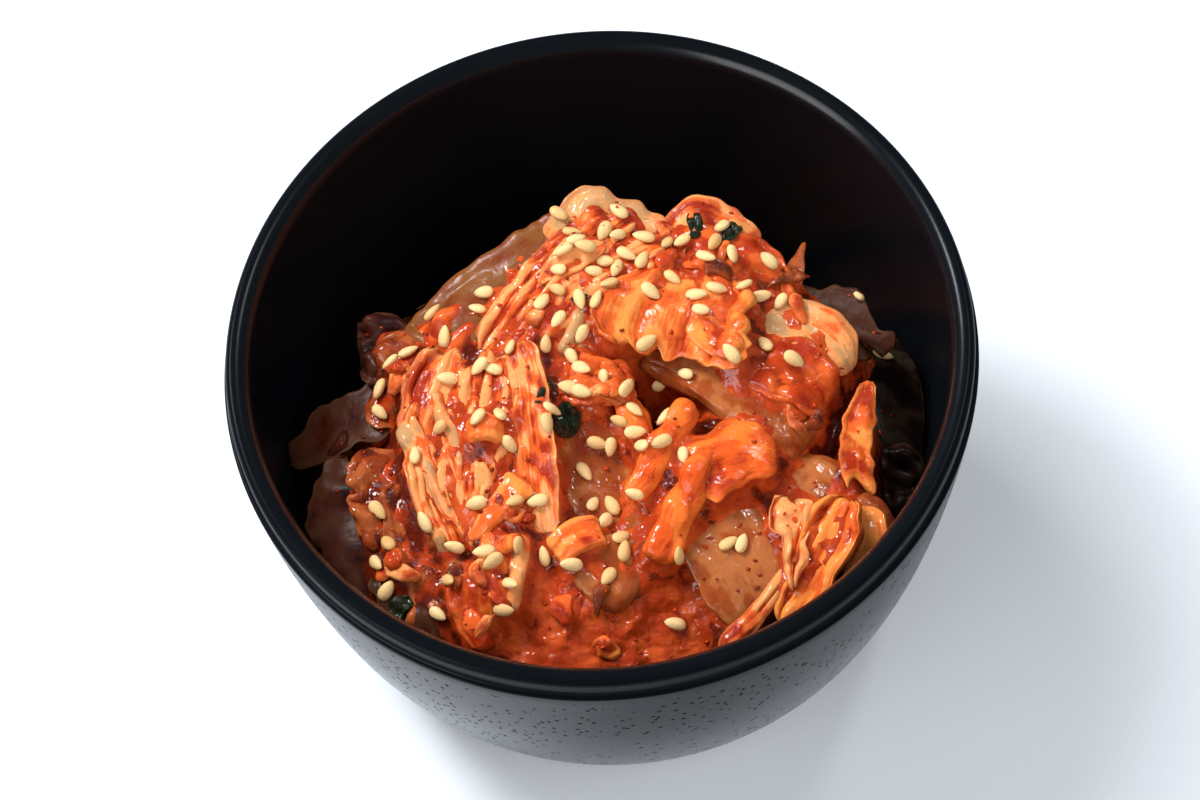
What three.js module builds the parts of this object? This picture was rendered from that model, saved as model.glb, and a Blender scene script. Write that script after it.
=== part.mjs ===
// A round rice bowl holding a heap of kimchi. Millimetres, +Z up, with the origin at the middle of
// the bowl's foot, on the surface that it stands on. The heap is one solid out to its uneven outline.
import * as THREE from "three";

// Driving dimensions of the bowl.
const BOWL_HEIGHT = 67.5;
const RIM_RADIUS = 60;
const RIM_THICKNESS = 2.7;
const RIM_OUTER_ROUNDING = 1.6;
const LIP_BAND_HEIGHT = 4.2;
const BODY_RADIUS = 60.75; // just under the lip band, so the body stands proud of it
const BODY_BASE_RADIUS = 38; // where the body's curve meets the flat underside
const FOOT_HEIGHT = 3.5;
const FOOT_OUTER_RADIUS = 34;
const FOOT_INNER_RADIUS = 30;
const FOOT_ROUNDING = 0.6;
const WALL = 3;
const FLOOR = 3;
const BODY_DROP_POWER = 1.2; // how soon the body's side leaves the vertical
const BODY_TURN_POWER = 3.4; // how tightly it turns into the underside
const BOWL_SIDES = 72;
const WALL_STEPS = 10; // steps down each face of the wall

// Driving dimensions of the heap.
const HEAP_GAP = 0.3; // between the heap and the bowl's inner face
const HEAP_PEAK = 57; // height of the plain mound at the bowl's axis, before its lumps
const FRONT_EDGE = 48; // height at which it meets the bowl's wall at the front
const BACK_EDGE = 16; // and at the back, where the heap falls away steeply
const EDGE_WAVES = [
  { rise: 1.4, count: 3, phase: 0.6 },
  { rise: 0.84, count: 7, phase: 2 },
];
const BACK_STARTS = 0.12; // sine of the angle round the bowl at which front turns to back
const BACK_BLEND = 0.09; // and how soon it turns
const FRONT_POWER = 2.2; // how the front slope falls towards the wall
const CREST_SHARE = 0.56; // share of the way to the wall at which the back slope starts
const HEAP_SIDES = 72;
const HEAP_TOP_RINGS = 22;
const HEAP_BASE_RINGS = 8;
const CRINKLE = 0.55; // small relief of leaf ends and folds, as crossing waves
const CRINKLE_WAVES = [
  { x: 0.55, y: 0.21, phase: 0 },
  { x: 0.34, y: -0.62, phase: 1.3 },
  { x: 0.4, y: 0.9, phase: 2.1 },
];
const LUMP_FADE_POWER = 6; // lumps die away towards the wall

// The larger pieces that stand out of the heap, as smooth flat-topped lumps: the middle in plan, half
// length and half width, the length's direction in degrees from +X, and the height over the mound.
const LUMPS = [
  { at: [12, 16], half: [18, 13], turn: 0, rise: 6 }, // leaves crowning the heap
  { at: [3, 29], half: [11, 8], turn: 0, rise: 8.5 }, // pale stem end at the back
  { at: [26, 28], half: [11, 8], turn: -20, rise: 9 }, // wavy leaf at the back right
  { at: [38, 17], half: [10, 8], turn: -50, rise: 8 }, // leaf ends behind the right side
  { at: [-16, 21], half: [15, 8], turn: 30, rise: 5 }, // smooth pale stem, back left
  { at: [-20, -2], half: [24, 10], turn: 62, rise: 5 }, // fibrous leaf down the left side
  { at: [-10, -12], half: [18, 6], turn: 85, rise: 3.5 }, // ribbed stem strips
  { at: [18, 4], half: [16, 7], turn: -20, rise: 4 }, // drooping leaf
  { at: [20, -7], half: [15, 6], turn: -38, rise: 1.5 }, // thick glossy stem
  { at: [36, 0], half: [6, 6], turn: 0, rise: 5 }, // rounded stem end at the right
  { at: [41, -15], half: [10, 4], turn: 95, rise: 5 }, // narrow upright strip
  { at: [11, -17], half: [9, 4], turn: 55, rise: 3 }, // radish fingers
  { at: [13, -27], half: [13, 6], turn: 32, rise: 3.5 }, // wet orange slab
  { at: [19, -36], half: [10, 7], turn: -20, rise: 2 }, // flat clear stem slab
  { at: [35, -33], half: [8, 8], turn: 30, rise: 5 }, // curled leaf, front right
  { at: [-40, -21], half: [12, 7], turn: 75, rise: 3 }, // leaf, front left
  { at: [-33, 15], half: [10, 8], turn: 20, rise: 7 }, // leaf end, far left
];
const HOLLOWS = [
  { at: [-3, -22], half: [12, 6], turn: 80, rise: -3 }, // over the smooth slab
  { at: [13, -2], half: [6, 3.5], turn: -15, rise: -3 }, // shadowed gap under the drooping leaf
];

const rimLevel = BOWL_HEIGHT - LIP_BAND_HEIGHT;
const innerRadius = RIM_RADIUS - RIM_THICKNESS;
const innerFloor = FOOT_HEIGHT + FLOOR;
const innerBaseRadius = BODY_BASE_RADIUS - WALL;
const innerRounding = RIM_THICKNESS - RIM_OUTER_ROUNDING;
const innerTop = BOWL_HEIGHT - innerRounding;

// Radius of a bowl curve that falls from `top` wide to `base` wide as share goes from 0 to 1.
function bodyCurve(top, base, share) {
  const turned = (1 - share ** BODY_DROP_POWER) ** (1 / BODY_TURN_POWER);
  return base + (top - base) * turned;
}

// Shares from 0 to 1 that crowd towards 1, where the curve turns fastest.
function crowdedShares(count) {
  return Array.from({ length: count + 1 }, (_, i) => 1 - (1 - i / count) ** 2);
}

// Points of a quarter round about (r, z), from one angle to another, in degrees.
function arc(r, z, radius, from, to, steps) {
  return Array.from({ length: steps + 1 }, (_, i) => {
    const angle = THREE.MathUtils.degToRad(from + ((to - from) * i) / steps);
    return [r + radius * Math.cos(angle), z + radius * Math.sin(angle)];
  });
}

// Points down one face of the wall, from its top to its base, each given as [radius, height].
function wallFace(topRadius, top, baseRadius, base) {
  return crowdedShares(WALL_STEPS).map((share) => [
    bodyCurve(topRadius, baseRadius, share),
    THREE.MathUtils.lerp(top, base, share),
  ]);
}

// Radius of the bowl's inner face at a height, less the gap that the heap keeps to it.
function innerRadiusAt(z) {
  const share = THREE.MathUtils.clamp((innerTop - z) / (innerTop - innerFloor - HEAP_GAP), 0, 1);
  return bodyCurve(innerRadius, innerBaseRadius, share) - HEAP_GAP;
}

function bowlProfile() {
  const round = FOOT_ROUNDING;
  const outerRim = arc(
    RIM_RADIUS - RIM_OUTER_ROUNDING, BOWL_HEIGHT - RIM_OUTER_ROUNDING, RIM_OUTER_ROUNDING, 0, 90, 3,
  );
  const innerRim = arc(innerRadius + innerRounding, innerTop, innerRounding, 90, 180, 2);
  return [
    [0, FOOT_HEIGHT],
    [FOOT_INNER_RADIUS, FOOT_HEIGHT],
    ...arc(FOOT_INNER_RADIUS + round, round, round, 180, 270, 1),
    ...arc(FOOT_OUTER_RADIUS - round, round, round, 270, 360, 1),
    [FOOT_OUTER_RADIUS, FOOT_HEIGHT],
    ...wallFace(BODY_RADIUS, rimLevel, BODY_BASE_RADIUS, FOOT_HEIGHT).reverse(),
    [RIM_RADIUS, rimLevel],
    ...outerRim,
    ...innerRim.slice(1, -1),
    ...wallFace(innerRadius, innerTop, innerBaseRadius, innerFloor),
    [0, innerFloor],
  ];
}

function bowlGeometry() {
  const points = bowlProfile().map(([r, z]) => new THREE.Vector2(r, z));
  return new THREE.LatheGeometry(points, BOWL_SIDES).rotateX(Math.PI / 2);
}

function total(values) {
  return values.reduce((sum, value) => sum + value, 0);
}

// 0 at the front of the heap and 1 at its back, with a soft turn at each side. The front is towards -Y.
function backShare(angle) {
  return 1 / (1 + Math.exp((BACK_STARTS - Math.sin(angle)) / BACK_BLEND));
}

// Height at which the heap meets the wall, at an angle round the bowl.
function edgeHeight(angle) {
  const waves = EDGE_WAVES.map(({ rise, count, phase }) => rise * Math.sin(count * angle + phase));
  return THREE.MathUtils.lerp(FRONT_EDGE, BACK_EDGE, backShare(angle)) + total(waves);
}

// A lump's share, 1 on its flat top and falling smoothly to 0 outside its outline.
function lumpShare({ at, half, turn }, x, y) {
  const angle = THREE.MathUtils.degToRad(turn);
  const along = (x - at[0]) * Math.cos(angle) + (y - at[1]) * Math.sin(angle);
  const across = (y - at[1]) * Math.cos(angle) - (x - at[0]) * Math.sin(angle);
  const reach = (along / half[0]) ** 2 + (across / half[1]) ** 2;
  return Math.exp(-(reach ** 2));
}

// Lumps are added as cubes, so that where two overlap the taller one nearly stands alone, and the
// hollows are then taken off.
function relief(x, y) {
  const raised = Math.cbrt(total(LUMPS.map((lump) => (lump.rise * lumpShare(lump, x, y)) ** 3)));
  return raised + total(HOLLOWS.map((hollow) => hollow.rise * lumpShare(hollow, x, y))) + crinkle(x, y);
}

function crinkle(x, y) {
  return CRINKLE * total(CRINKLE_WAVES.map((wave) => Math.sin(wave.x * x + wave.y * y + wave.phase)));
}

// Height of the heap's top at a share of the way from the axis to the wall, at an angle.
function heapHeight(share, angle, reach) {
  const x = share * reach * Math.cos(angle);
  const y = share * reach * Math.sin(angle);
  const frontFall = share ** FRONT_POWER;
  const backFall = THREE.MathUtils.smoothstep(share, CREST_SHARE, 1);
  const fall = THREE.MathUtils.lerp(frontFall, backFall, backShare(angle));
  const mound = THREE.MathUtils.lerp(HEAP_PEAK, edgeHeight(angle), fall);
  return mound + relief(x, y) * (1 - share ** LUMP_FADE_POWER);
}

// A closed surface from rings of points round the axis, between a first and a last point on it.
function ringedSolid(firstPoint, rings, lastPoint) {
  const sides = rings[0].length;
  const positions = [...firstPoint, ...rings.flat(2), ...lastPoint];
  const last = 1 + rings.length * sides;
  const at = (ring, side) => 1 + ring * sides + (side % sides);
  const faces = [];
  for (let side = 0; side < sides; side++) {
    faces.push(0, at(0, side), at(0, side + 1));
    faces.push(last, at(rings.length - 1, side + 1), at(rings.length - 1, side));
    for (let ring = 0; ring + 1 < rings.length; ring++) {
      faces.push(at(ring, side), at(ring + 1, side), at(ring + 1, side + 1));
      faces.push(at(ring, side), at(ring + 1, side + 1), at(ring, side + 1));
    }
  }
  const geometry = new THREE.BufferGeometry();
  geometry.setAttribute("position", new THREE.Float32BufferAttribute(positions, 3));
  geometry.setIndex(faces);
  geometry.computeVertexNormals();
  return geometry;
}

function heapGeometry() {
  const angles = Array.from({ length: HEAP_SIDES }, (_, i) => (2 * Math.PI * i) / HEAP_SIDES);
  const base = innerFloor + HEAP_GAP;
  const topRings = Array.from({ length: HEAP_TOP_RINGS }, (_, i) => {
    const share = (i + 1) / HEAP_TOP_RINGS;
    return angles.map((angle) => {
      const reach = innerRadiusAt(edgeHeight(angle));
      return [
        share * reach * Math.cos(angle), share * reach * Math.sin(angle), heapHeight(share, angle, reach),
      ];
    });
  });
  const baseRings = crowdedShares(HEAP_BASE_RINGS).slice(1).map((share) =>
    angles.map((angle) => {
      const edge = edgeHeight(angle);
      const z = edge + (base - edge) * share;
      const r = innerRadiusAt(z);
      return [r * Math.cos(angle), r * Math.sin(angle), z];
    }),
  );
  const centreHeight = heapHeight(0, 0, 0);
  return ringedSolid([0, 0, centreHeight], [...topRings, ...baseRings], [0, 0, base]);
}

const bowl = new THREE.Mesh(
  bowlGeometry(),
  new THREE.MeshStandardMaterial({ color: 0x0b0c0e, roughness: 0.35, metalness: 0 }),
);
bowl.name = "bowl";

const heap = new THREE.Mesh(
  heapGeometry(),
  new THREE.MeshStandardMaterial({ color: 0xd9541e, roughness: 0.3, metalness: 0 }),
);
heap.name = "kimchi_heap";

const kimchiBowl = new THREE.Group();
kimchiBowl.add(bowl, heap);

export default kimchiBowl;
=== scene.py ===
"""A black rice bowl heaped with cabbage kimchi, radish sticks and sesame seeds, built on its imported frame.

Places and sizes are in millimetres in the model's own frame, with +Z up, and are turned to metres
where a mesh is made. Pieces are laid from the bottom of the heap to its top: each one is a surface
worked out on a grid, which rests on the height field of all that was laid before it.
"""

import math

import bpy
import numpy as np
from mathutils import Matrix, Vector


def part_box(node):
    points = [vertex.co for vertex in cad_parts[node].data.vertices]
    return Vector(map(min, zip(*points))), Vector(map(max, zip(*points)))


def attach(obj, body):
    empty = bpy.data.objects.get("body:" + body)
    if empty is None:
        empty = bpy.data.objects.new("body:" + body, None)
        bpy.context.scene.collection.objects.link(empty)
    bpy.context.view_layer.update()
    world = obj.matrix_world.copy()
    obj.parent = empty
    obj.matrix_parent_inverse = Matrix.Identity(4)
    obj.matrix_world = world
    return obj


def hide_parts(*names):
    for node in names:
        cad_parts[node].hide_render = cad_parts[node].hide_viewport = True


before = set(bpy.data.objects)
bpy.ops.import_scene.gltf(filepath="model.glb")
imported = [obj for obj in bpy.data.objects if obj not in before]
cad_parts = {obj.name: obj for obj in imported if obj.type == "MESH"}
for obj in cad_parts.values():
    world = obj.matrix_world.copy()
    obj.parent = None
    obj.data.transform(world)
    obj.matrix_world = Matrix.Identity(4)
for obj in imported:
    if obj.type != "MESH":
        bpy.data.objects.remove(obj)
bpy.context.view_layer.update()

bl_info = {
    "name": "Kimchi Bowl",
    "version": (1, 0, 0),
    "blender": (4, 5, 0),
    "location": "View3D > Sidebar > Kimchi",
    "description": "Builds a bowl of kimchi, piece by piece",
    "category": "Add Mesh",
}

MM = 0.001
BOWL_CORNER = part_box("bowl")[1] / MM
BOWL_TOP = BOWL_CORNER.z
BODY_RADIUS = BOWL_CORNER.x
BODY = "root"
HEAP_NODE = "kimchi_heap"


# ---------------------------------------------------------------- properties


def length(name, description, default):
    """A length property, in metres."""
    return bpy.props.FloatProperty(
        name=name, description=description, default=default, min=0.0, unit="LENGTH"
    )


def colour(name, description, default):
    """A colour property, as linear red, green and blue."""
    return bpy.props.FloatVectorProperty(
        name=name, description=description, default=default, size=3, min=0.0, max=1.0, subtype="COLOR"
    )


class KimchiBowlSizes(bpy.types.PropertyGroup):
    """Sizes of the bowl that the frame's box doesn't give."""

    body_step: length("Body step", "How far the body stands out past the rim", 0.00075)
    rim_thickness: length("Rim thickness", "From the rim's edge to the inner wall", 0.0039)
    rim_rounding: length("Rim rounding", "Radius of the rim's outer edge", 0.0012)
    lip_fall: length("Lip fall", "Height over which the rim rounds into the inner wall", 0.0034)
    lip_band: length("Lip band", "Height of the band under the rim", 0.0042)
    wall: length("Wall", "Thickness of the wall at its base and of the floor", 0.003)
    base_radius: length("Base radius", "Radius where the body turns into its underside", 0.038)
    foot_height: length("Foot height", "Height of the foot ring", 0.0035)
    foot_outer: length("Foot outer radius", "Outer radius of the foot ring", 0.034)
    foot_inner: length("Foot inner radius", "Inner radius of the foot ring", 0.030)


class KimchiColours(bpy.types.PropertyGroup):
    """Colours of the food and of the bowl."""

    bowl: colour("Bowl", "Black of the bowl", (0.0030, 0.0042, 0.0058))
    cream: colour("Cream", "Bare cabbage stem", (0.50, 0.27, 0.115))
    tan: colour("Tan", "Soaked smooth stem", (0.42, 0.130, 0.038))
    blush: colour("Blush", "Lightly stained leaf", (0.80, 0.305, 0.100))
    orange: colour("Orange", "Stained leaf", (0.66, 0.105, 0.017))
    red: colour("Red", "Chilli paste", (0.34, 0.023, 0.004))
    # The dark and olive colours below, for the side leaves, are near black partly as painted shade from the
    # bowl's wall.
    dark: colour("Dark", "Leaf in deep sauce", (0.018, 0.008, 0.005))
    olive: colour("Olive", "Clear leaf edge", (0.030, 0.018, 0.011))
    green: colour("Green", "Green leaf ends", (0.012, 0.018, 0.008))
    sesame: colour("Sesame", "Sesame seed", (0.88, 0.61, 0.29))


class KimchiAmounts(bpy.types.PropertyGroup):
    """How much is scattered over the heap."""

    flakes: bpy.props.IntProperty(
        name="Chilli flakes", description="Number of loose chilli flakes", default=260, min=0
    )


# ---------------------------------------------------------------- shader maths


class Wire:
    """An output socket, on which arithmetic adds Math nodes."""

    def __init__(self, shader, socket):
        self.shader = shader
        self.socket = socket

    def calculate(self, operation, *values, clamp=False):
        settings = {"operation": operation, "use_clamp": clamp}
        return self.shader.node("ShaderNodeMath", 0, settings, dict(enumerate(values)))

    def __add__(self, other):
        return self.calculate("ADD", self, other)

    def __sub__(self, other):
        return self.calculate("SUBTRACT", self, other)

    def __rsub__(self, other):
        return self.calculate("SUBTRACT", other, self)

    def __mul__(self, other):
        return self.calculate("MULTIPLY", self, other)

    def clamped(self):
        return self.calculate("ADD", self, 0.0, clamp=True)

    __radd__ = __add__
    __rmul__ = __mul__


class Shader:
    """The node tree of one material."""

    def __init__(self, name):
        self.material = bpy.data.materials.new(name)
        self.material.use_nodes = True
        self.tree = self.material.node_tree
        self.tree.nodes.clear()
        self.place = self.node("ShaderNodeTexCoord", "Object")

    def node(self, kind, output, settings=None, sockets=None):
        """Adds a node, sets it up, fills or links its sockets, and returns one of its outputs."""
        node = self.tree.nodes.new(kind)
        for key, value in (settings or {}).items():
            setattr(node, key, value)
        for key, value in (sockets or {}).items():
            if isinstance(value, Wire):
                self.tree.links.new(value.socket, node.inputs[key])
            else:
                node.inputs[key].default_value = value
        return Wire(self, node.outputs[output])

    def layer(self, name):
        """A value kept at the mesh's points."""
        return self.node("ShaderNodeAttribute", "Fac", {"attribute_name": name})

    def stretched(self, along, across):
        """The piece's own map, with its pattern drawn out along the piece."""
        uv = self.node("ShaderNodeUVMap", 0, {"uv_map": "lengthwise"})
        settings = {"operation": "MULTIPLY"}
        return self.node("ShaderNodeVectorMath", 0, settings, {0: uv, 1: (along, across, 1.0)})

    def noise(self, size, detail=3.0, distortion=0.0):
        """Noise around 0.5 whose lumps are about `size` millimetres wide."""
        return self.noise_at(self.place, 1.0 / (size * MM), detail, distortion)

    def noise_at(self, place, scale, detail, distortion):
        """Noise around 0.5 read at a place, as many lumps to its unit as the scale says."""
        sockets = {"Vector": place, "Scale": scale, "Detail": detail, "Distortion": distortion}
        return self.node("ShaderNodeTexNoise", "Fac", None, sockets)

    def cells(self, size):
        """Distance to the nearest of scattered points, `size` millimetres apart."""
        sockets = {"Vector": self.place, "Scale": 1.0 / (size * MM)}
        return self.node("ShaderNodeTexVoronoi", "Distance", None, sockets)

    def step(self, value, low, high):
        """0 below `low` and 1 above `high`, with a smooth turn between."""
        sockets = {"Value": value, "From Min": low, "From Max": high}
        settings = {"interpolation_type": "SMOOTHSTEP"}
        return self.node("ShaderNodeMapRange", 0, settings, sockets)

    def mix(self, share, first, second):
        """Two colours mixed by a share."""
        first = first if isinstance(first, Wire) else (*first, 1.0)
        second = second if isinstance(second, Wire) else (*second, 1.0)
        return self.node("ShaderNodeMix", 2, {"data_type": "RGBA"}, {0: share, 6: first, 7: second})

    def bump(self, height, depth):
        """A normal from a height, whose full range is `depth` millimetres."""
        return self.node("ShaderNodeBump", 0, None, {"Height": height, "Distance": depth * MM})

    def surface(self, **sockets):
        """The surface shader; socket names are given with _ for each space."""
        named = {key.replace("_", " "): value for key, value in sockets.items()}
        plain = self.node("ShaderNodeBsdfPrincipled", 0, None, named)
        output = self.tree.nodes.new("ShaderNodeOutputMaterial")
        self.tree.links.new(plain.socket, output.inputs["Surface"])
        return self.material


# ---------------------------------------------------------------- finishes


def shade(colour_parts, share):
    """A colour made darker or lighter by a share."""
    return [share * part for part in colour_parts]


def kimchi_finish(name, bare, stained, deep, fibre=0.5, paste=0.4, wet=0.8, clear=0.2, rim=None,
                  relief=0.6):
    """Soaked vegetable: bare where unstained, then stained and deep, with fibres along it, chilli
    specks, clots of paste and another colour along its thin edges, which is painted light glowing
    through a thin edge where that colour is lighter, and staining where it is redder. Its staining
    layer also carries painted shade. `fibre`, `paste` and `wet` are shares, `clear` is its
    translucency and `relief` is the depth of its bumps in millimetres."""
    shader = Shader(name)
    # The staining layer holds real staining and, from the heap, painted shade in recesses, gaps, the hollow
    # and by the wall.
    stain_and_shade = shader.layer("stain_and_shade")
    edge = shader.layer("edge")
    blotch = shader.noise(3.6, 4.0, 0.8)
    threads = shader.noise_at(shader.stretched(12.0, 170.0), 1.0, 3.0, 0.3)
    broad = shader.noise(9.0, 2.0, 0.5)
    level = (stain_and_shade + (blotch - 0.5) * 0.8 + (broad - 0.5) * 0.5 + (threads - 0.5) * fibre * 1.7).clamped()
    base = shader.mix(shader.step(level, 0.10, 0.42), bare, stained)
    base = shader.mix(shader.step(level, 0.52, 0.90), base, deep)
    # Edge colour: painted light glowing through the thin edge where it is lighter, as on the clear and dark
    # side leaves; real staining where it is redder, as on the stems.
    base = shader.mix(edge * 0.4, base, rim or bare)
    clots = shader.step(shader.noise(1.5, 5.0, 1.5) + (level - 0.5) * 0.3, 0.58, 0.68) * paste
    base = shader.mix(clots * 0.7, base, deep)
    specks = (1.0 - shader.step(shader.cells(0.9), 0.12, 0.24)) * shader.step(blotch, 0.42, 0.6)
    base = shader.mix(specks * (0.15 + 0.6 * paste), base, deep)
    gloss = shader.step(shader.noise(2.6, 2.0, 0.8), 0.34, 0.50)
    swell = shader.noise(3.2, 0.0, 0.4)
    wrinkle = shader.noise(1.3, 0.0, 0.8)
    height = swell * 0.55 + wrinkle * 0.22 + threads * fibre * 0.35 + clots * 0.12 + blotch * 0.10
    return shader.surface(
        Base_Color=base,
        Roughness=0.40 - gloss * wet * 0.36 + blotch * 0.06,
        Specular_IOR_Level=0.25 + 0.3 * wet,
        Subsurface_Weight=clear,
        Subsurface_Radius=(1.0, 0.30, 0.10),
        Subsurface_Scale=0.7 * MM,
        Normal=shader.bump(height, relief),
    )


def finishes(colours):
    """Every finish of the kimchi, by name."""
    cream, tan, blush = tuple(colours.cream), tuple(colours.tan), tuple(colours.blush)
    orange, red, dark = tuple(colours.orange), tuple(colours.red), tuple(colours.dark)
    olive, green = tuple(colours.olive), tuple(colours.green)
    rows = {
        "cream_stem": dict(bare=cream, stained=blush, deep=orange, paste=0.2, rim=(0.52, 0.11, 0.022)),
        "tan_stem": dict(bare=tan, stained=(0.30, 0.062, 0.013), deep=(0.26, 0.032, 0.006),
                         fibre=0.25, paste=0.15, wet=0.9, clear=0.25, rim=(0.40, 0.10, 0.020)),
        "dim_stem": dict(bare=(0.20, 0.068, 0.018), stained=(0.18, 0.048, 0.012),
                         deep=(0.17, 0.032, 0.008), fibre=0.2, paste=0.1, wet=0.45, relief=0.35),
        "leaf": dict(bare=blush, stained=orange, deep=red, fibre=0.9, paste=0.3),
        "orange_leaf": dict(bare=(0.80, 0.25, 0.050), stained=orange, deep=red, paste=0.2),
        "red_leaf": dict(bare=(0.66, 0.11, 0.020), stained=(0.44, 0.045, 0.008), deep=red,
                         fibre=0.2, paste=0.5, wet=1.0),
        "soaked_leaf": dict(bare=(0.36, 0.085, 0.022), stained=(0.24, 0.036, 0.008),
                            deep=(0.08, 0.010, 0.004), fibre=0.6, paste=0.5, wet=0.9),
        # The next two finishes are for the clear, dark leaves at the sides of the bowl, near black partly of
        # their own and partly as painted shade from the bowl's wall.
        "shaded_clear_leaf": dict(bare=(0.060, 0.018, 0.008), stained=(0.050, 0.009, 0.004),
                           deep=(0.02, 0.004, 0.003), fibre=0.3, paste=0.3, wet=0.15,
                           rim=(0.10, 0.040, 0.016), relief=0.3),
        "shaded_dark_leaf": dict(bare=olive, stained=dark, deep=shade(dark, 0.4), fibre=0.4, paste=0.2,
                          wet=0.15, clear=0.1, rim=(0.07, 0.026, 0.013), relief=0.25),
        "green_leaf": dict(bare=(0.016, 0.018, 0.008), stained=green, deep=shade(green, 0.6),
                           fibre=0.3, paste=0.1),
        "radish": dict(bare=(0.76, 0.165, 0.024), stained=(0.64, 0.085, 0.012), deep=red, paste=0.2),
        "sauce": dict(bare=(0.56, 0.080, 0.014), stained=(0.40, 0.040, 0.007),
                      deep=(0.11, 0.010, 0.003), fibre=0.0, paste=0.15, wet=1.1, clear=0.3, relief=0.9),
    }
    return {name: kimchi_finish(name, **row) for name, row in rows.items()}


def bowl_finish(black):
    """Satin black moulded ware with fine grain and scattered pits, whose sheen fades down its inside."""
    shader = Shader("bowl_black")
    grain = shader.noise(0.35, 2.0)
    cloud = shader.noise(14.0, 3.0)
    pits = (1.0 - shader.step(shader.cells(1.7), 0.14, 0.26)) * shader.step(cloud, 0.36, 0.5)
    pits = pits * shader.layer("pitted")
    base = shader.mix(cloud, shade(black, 0.8), shade(black, 1.25))
    return shader.surface(
        Base_Color=base,
        Roughness=0.24 + cloud * 0.08 + grain * 0.05 + pits * 0.6,
        Specular_IOR_Level=0.04,
        Specular_Tint=(0.80, 0.90, 1.0, 1.0),
        Coat_Weight=shader.layer("sheen") * (0.75 - pits * 0.75),
        Coat_Roughness=0.22,
        Coat_Tint=(0.84, 0.92, 1.0, 1.0),
        Normal=shader.bump(grain * 0.12 - pits, 0.12),
    )


def sesame_finish(sesame):
    """Cream seed, a little browner by seed and at its tip, with a faint grain."""
    shader = Shader("sesame")
    grain = shader.noise(0.4, 2.0)
    base = shader.mix(shader.layer("toast"), sesame, (0.60, 0.32, 0.09))
    base = shader.mix(shader.step(grain, 0.4, 0.7) * 0.5, base, shade(sesame, 0.72))
    base = shader.mix(shader.layer("tip"), base, (0.16, 0.09, 0.045))
    return shader.surface(
        Base_Color=base,
        Roughness=0.38 + grain * 0.1,
        Subsurface_Weight=0.25,
        Subsurface_Radius=(1.0, 0.6, 0.3),
        Subsurface_Scale=0.6 * MM,
        Normal=shader.bump(grain, 0.05),
    )


def flake_finish(red):
    """Chilli flakes, from bright to dark red by flake."""
    shader = Shader("chilli_flake")
    base = shader.mix(shader.layer("toast"), (0.62, 0.06, 0.012), shade(red, 0.35))
    return shader.surface(
        Base_Color=base,
        Roughness=0.22 + shader.noise(0.5, 2.0) * 0.15,
        Subsurface_Weight=0.2,
        Subsurface_Radius=(1.0, 0.2, 0.1),
        Subsurface_Scale=0.5 * MM,
    )


# ---------------------------------------------------------------- surfaces


def smooth_through(values, shares):
    """Values read at shares from 0 to 1 of a smooth curve through evenly spaced ones, where each
    stretch is the cubic whose slope at a value is half the step between its two neighbours."""
    values = np.asarray(values, float)
    last = len(values) - 1
    ends = [2 * values[0] - values[1]], [2 * values[-1] - values[-2]]
    rows = np.concatenate([ends[0], values, ends[1]])
    at = np.clip(np.asarray(shares) * last, 0, last - 1e-9)
    start = at.astype(int)
    t = at - start
    if values.ndim > 1:
        t = t[..., None]
    a, b, c, d = (rows[start + i] for i in range(4))
    return b + 0.5 * t * (c - a + t * (2 * a - 5 * b + 4 * c - d + t * (3 * (b - c) + d - a)))


def smooth_step(low, high, value):
    """0 up to `low` and 1 from `high` on, by the cubic 3t² - 2t³ between; `high` may be the lesser."""
    t = np.clip((value - low) / (high - low), 0, 1)
    return t * t * (3 - 2 * t)


def spot(x, y, middle, reach):
    """1 round a middle and 0 past its reach along x and y, as exp(-(x² + y²)²)."""
    return np.exp(-(((x - middle[0]) / reach[0]) ** 2 + ((y - middle[1]) / reach[1]) ** 2) ** 2)


def ripples(x, y, size, seed, count=10):
    """Uneven waves about `size` millimetres long, as the sum of sines in random directions, with a
    spread of about 1 either way."""
    rng = np.random.default_rng(seed)
    turn = rng.uniform(0, 2 * np.pi, count)
    rate = 2 * np.pi / (size * rng.uniform(0.65, 1.5, count))
    phase = rng.uniform(0, 2 * np.pi, count)
    waves = [np.sin(r * (np.cos(a) * x + np.sin(a) * y) + p) for r, a, p in zip(rate, turn, phase)]
    return sum(waves) / math.sqrt(count / 2)


def creases(x, y, size, seed):
    """Sharp folds about `size` millimetres apart: 1 less the size of warped ripples, which peaks
    sharply where they cross zero."""
    warp = 0.3 * size
    shifted_x = x + warp * ripples(x, y, 1.6 * size, seed + 1)
    shifted_y = y + warp * ripples(x, y, 1.6 * size, seed + 2)
    return 1 - np.abs(ripples(shifted_x, shifted_y, 2 * size, seed))


def grid_faces(rows, columns, wrap=False):
    """Corner numbers of the squares of a grid of points, joined round its columns if it wraps."""
    row = np.arange(rows - 1)[:, None]
    column = np.arange(columns if wrap else columns - 1)[None, :]
    after = (column + 1) % columns
    corners = [row * columns + column, (row + 1) * columns + column,
               (row + 1) * columns + after, row * columns + after]
    return np.stack([np.broadcast_to(c, corners[0].shape).ravel() for c in corners], axis=1)


def volume(points, faces):
    """Signed volume inside a closed mesh: the sum over its faces of a · (b × c) / 6."""
    total = 0.0
    for corner in range(1, faces.shape[1] - 1):
        a, b, c = points[faces[:, 0]], points[faces[:, corner]], points[faces[:, corner + 1]]
        total += np.einsum("ij,ij->i", a, np.cross(b, c)).sum() / 6
    return total


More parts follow.
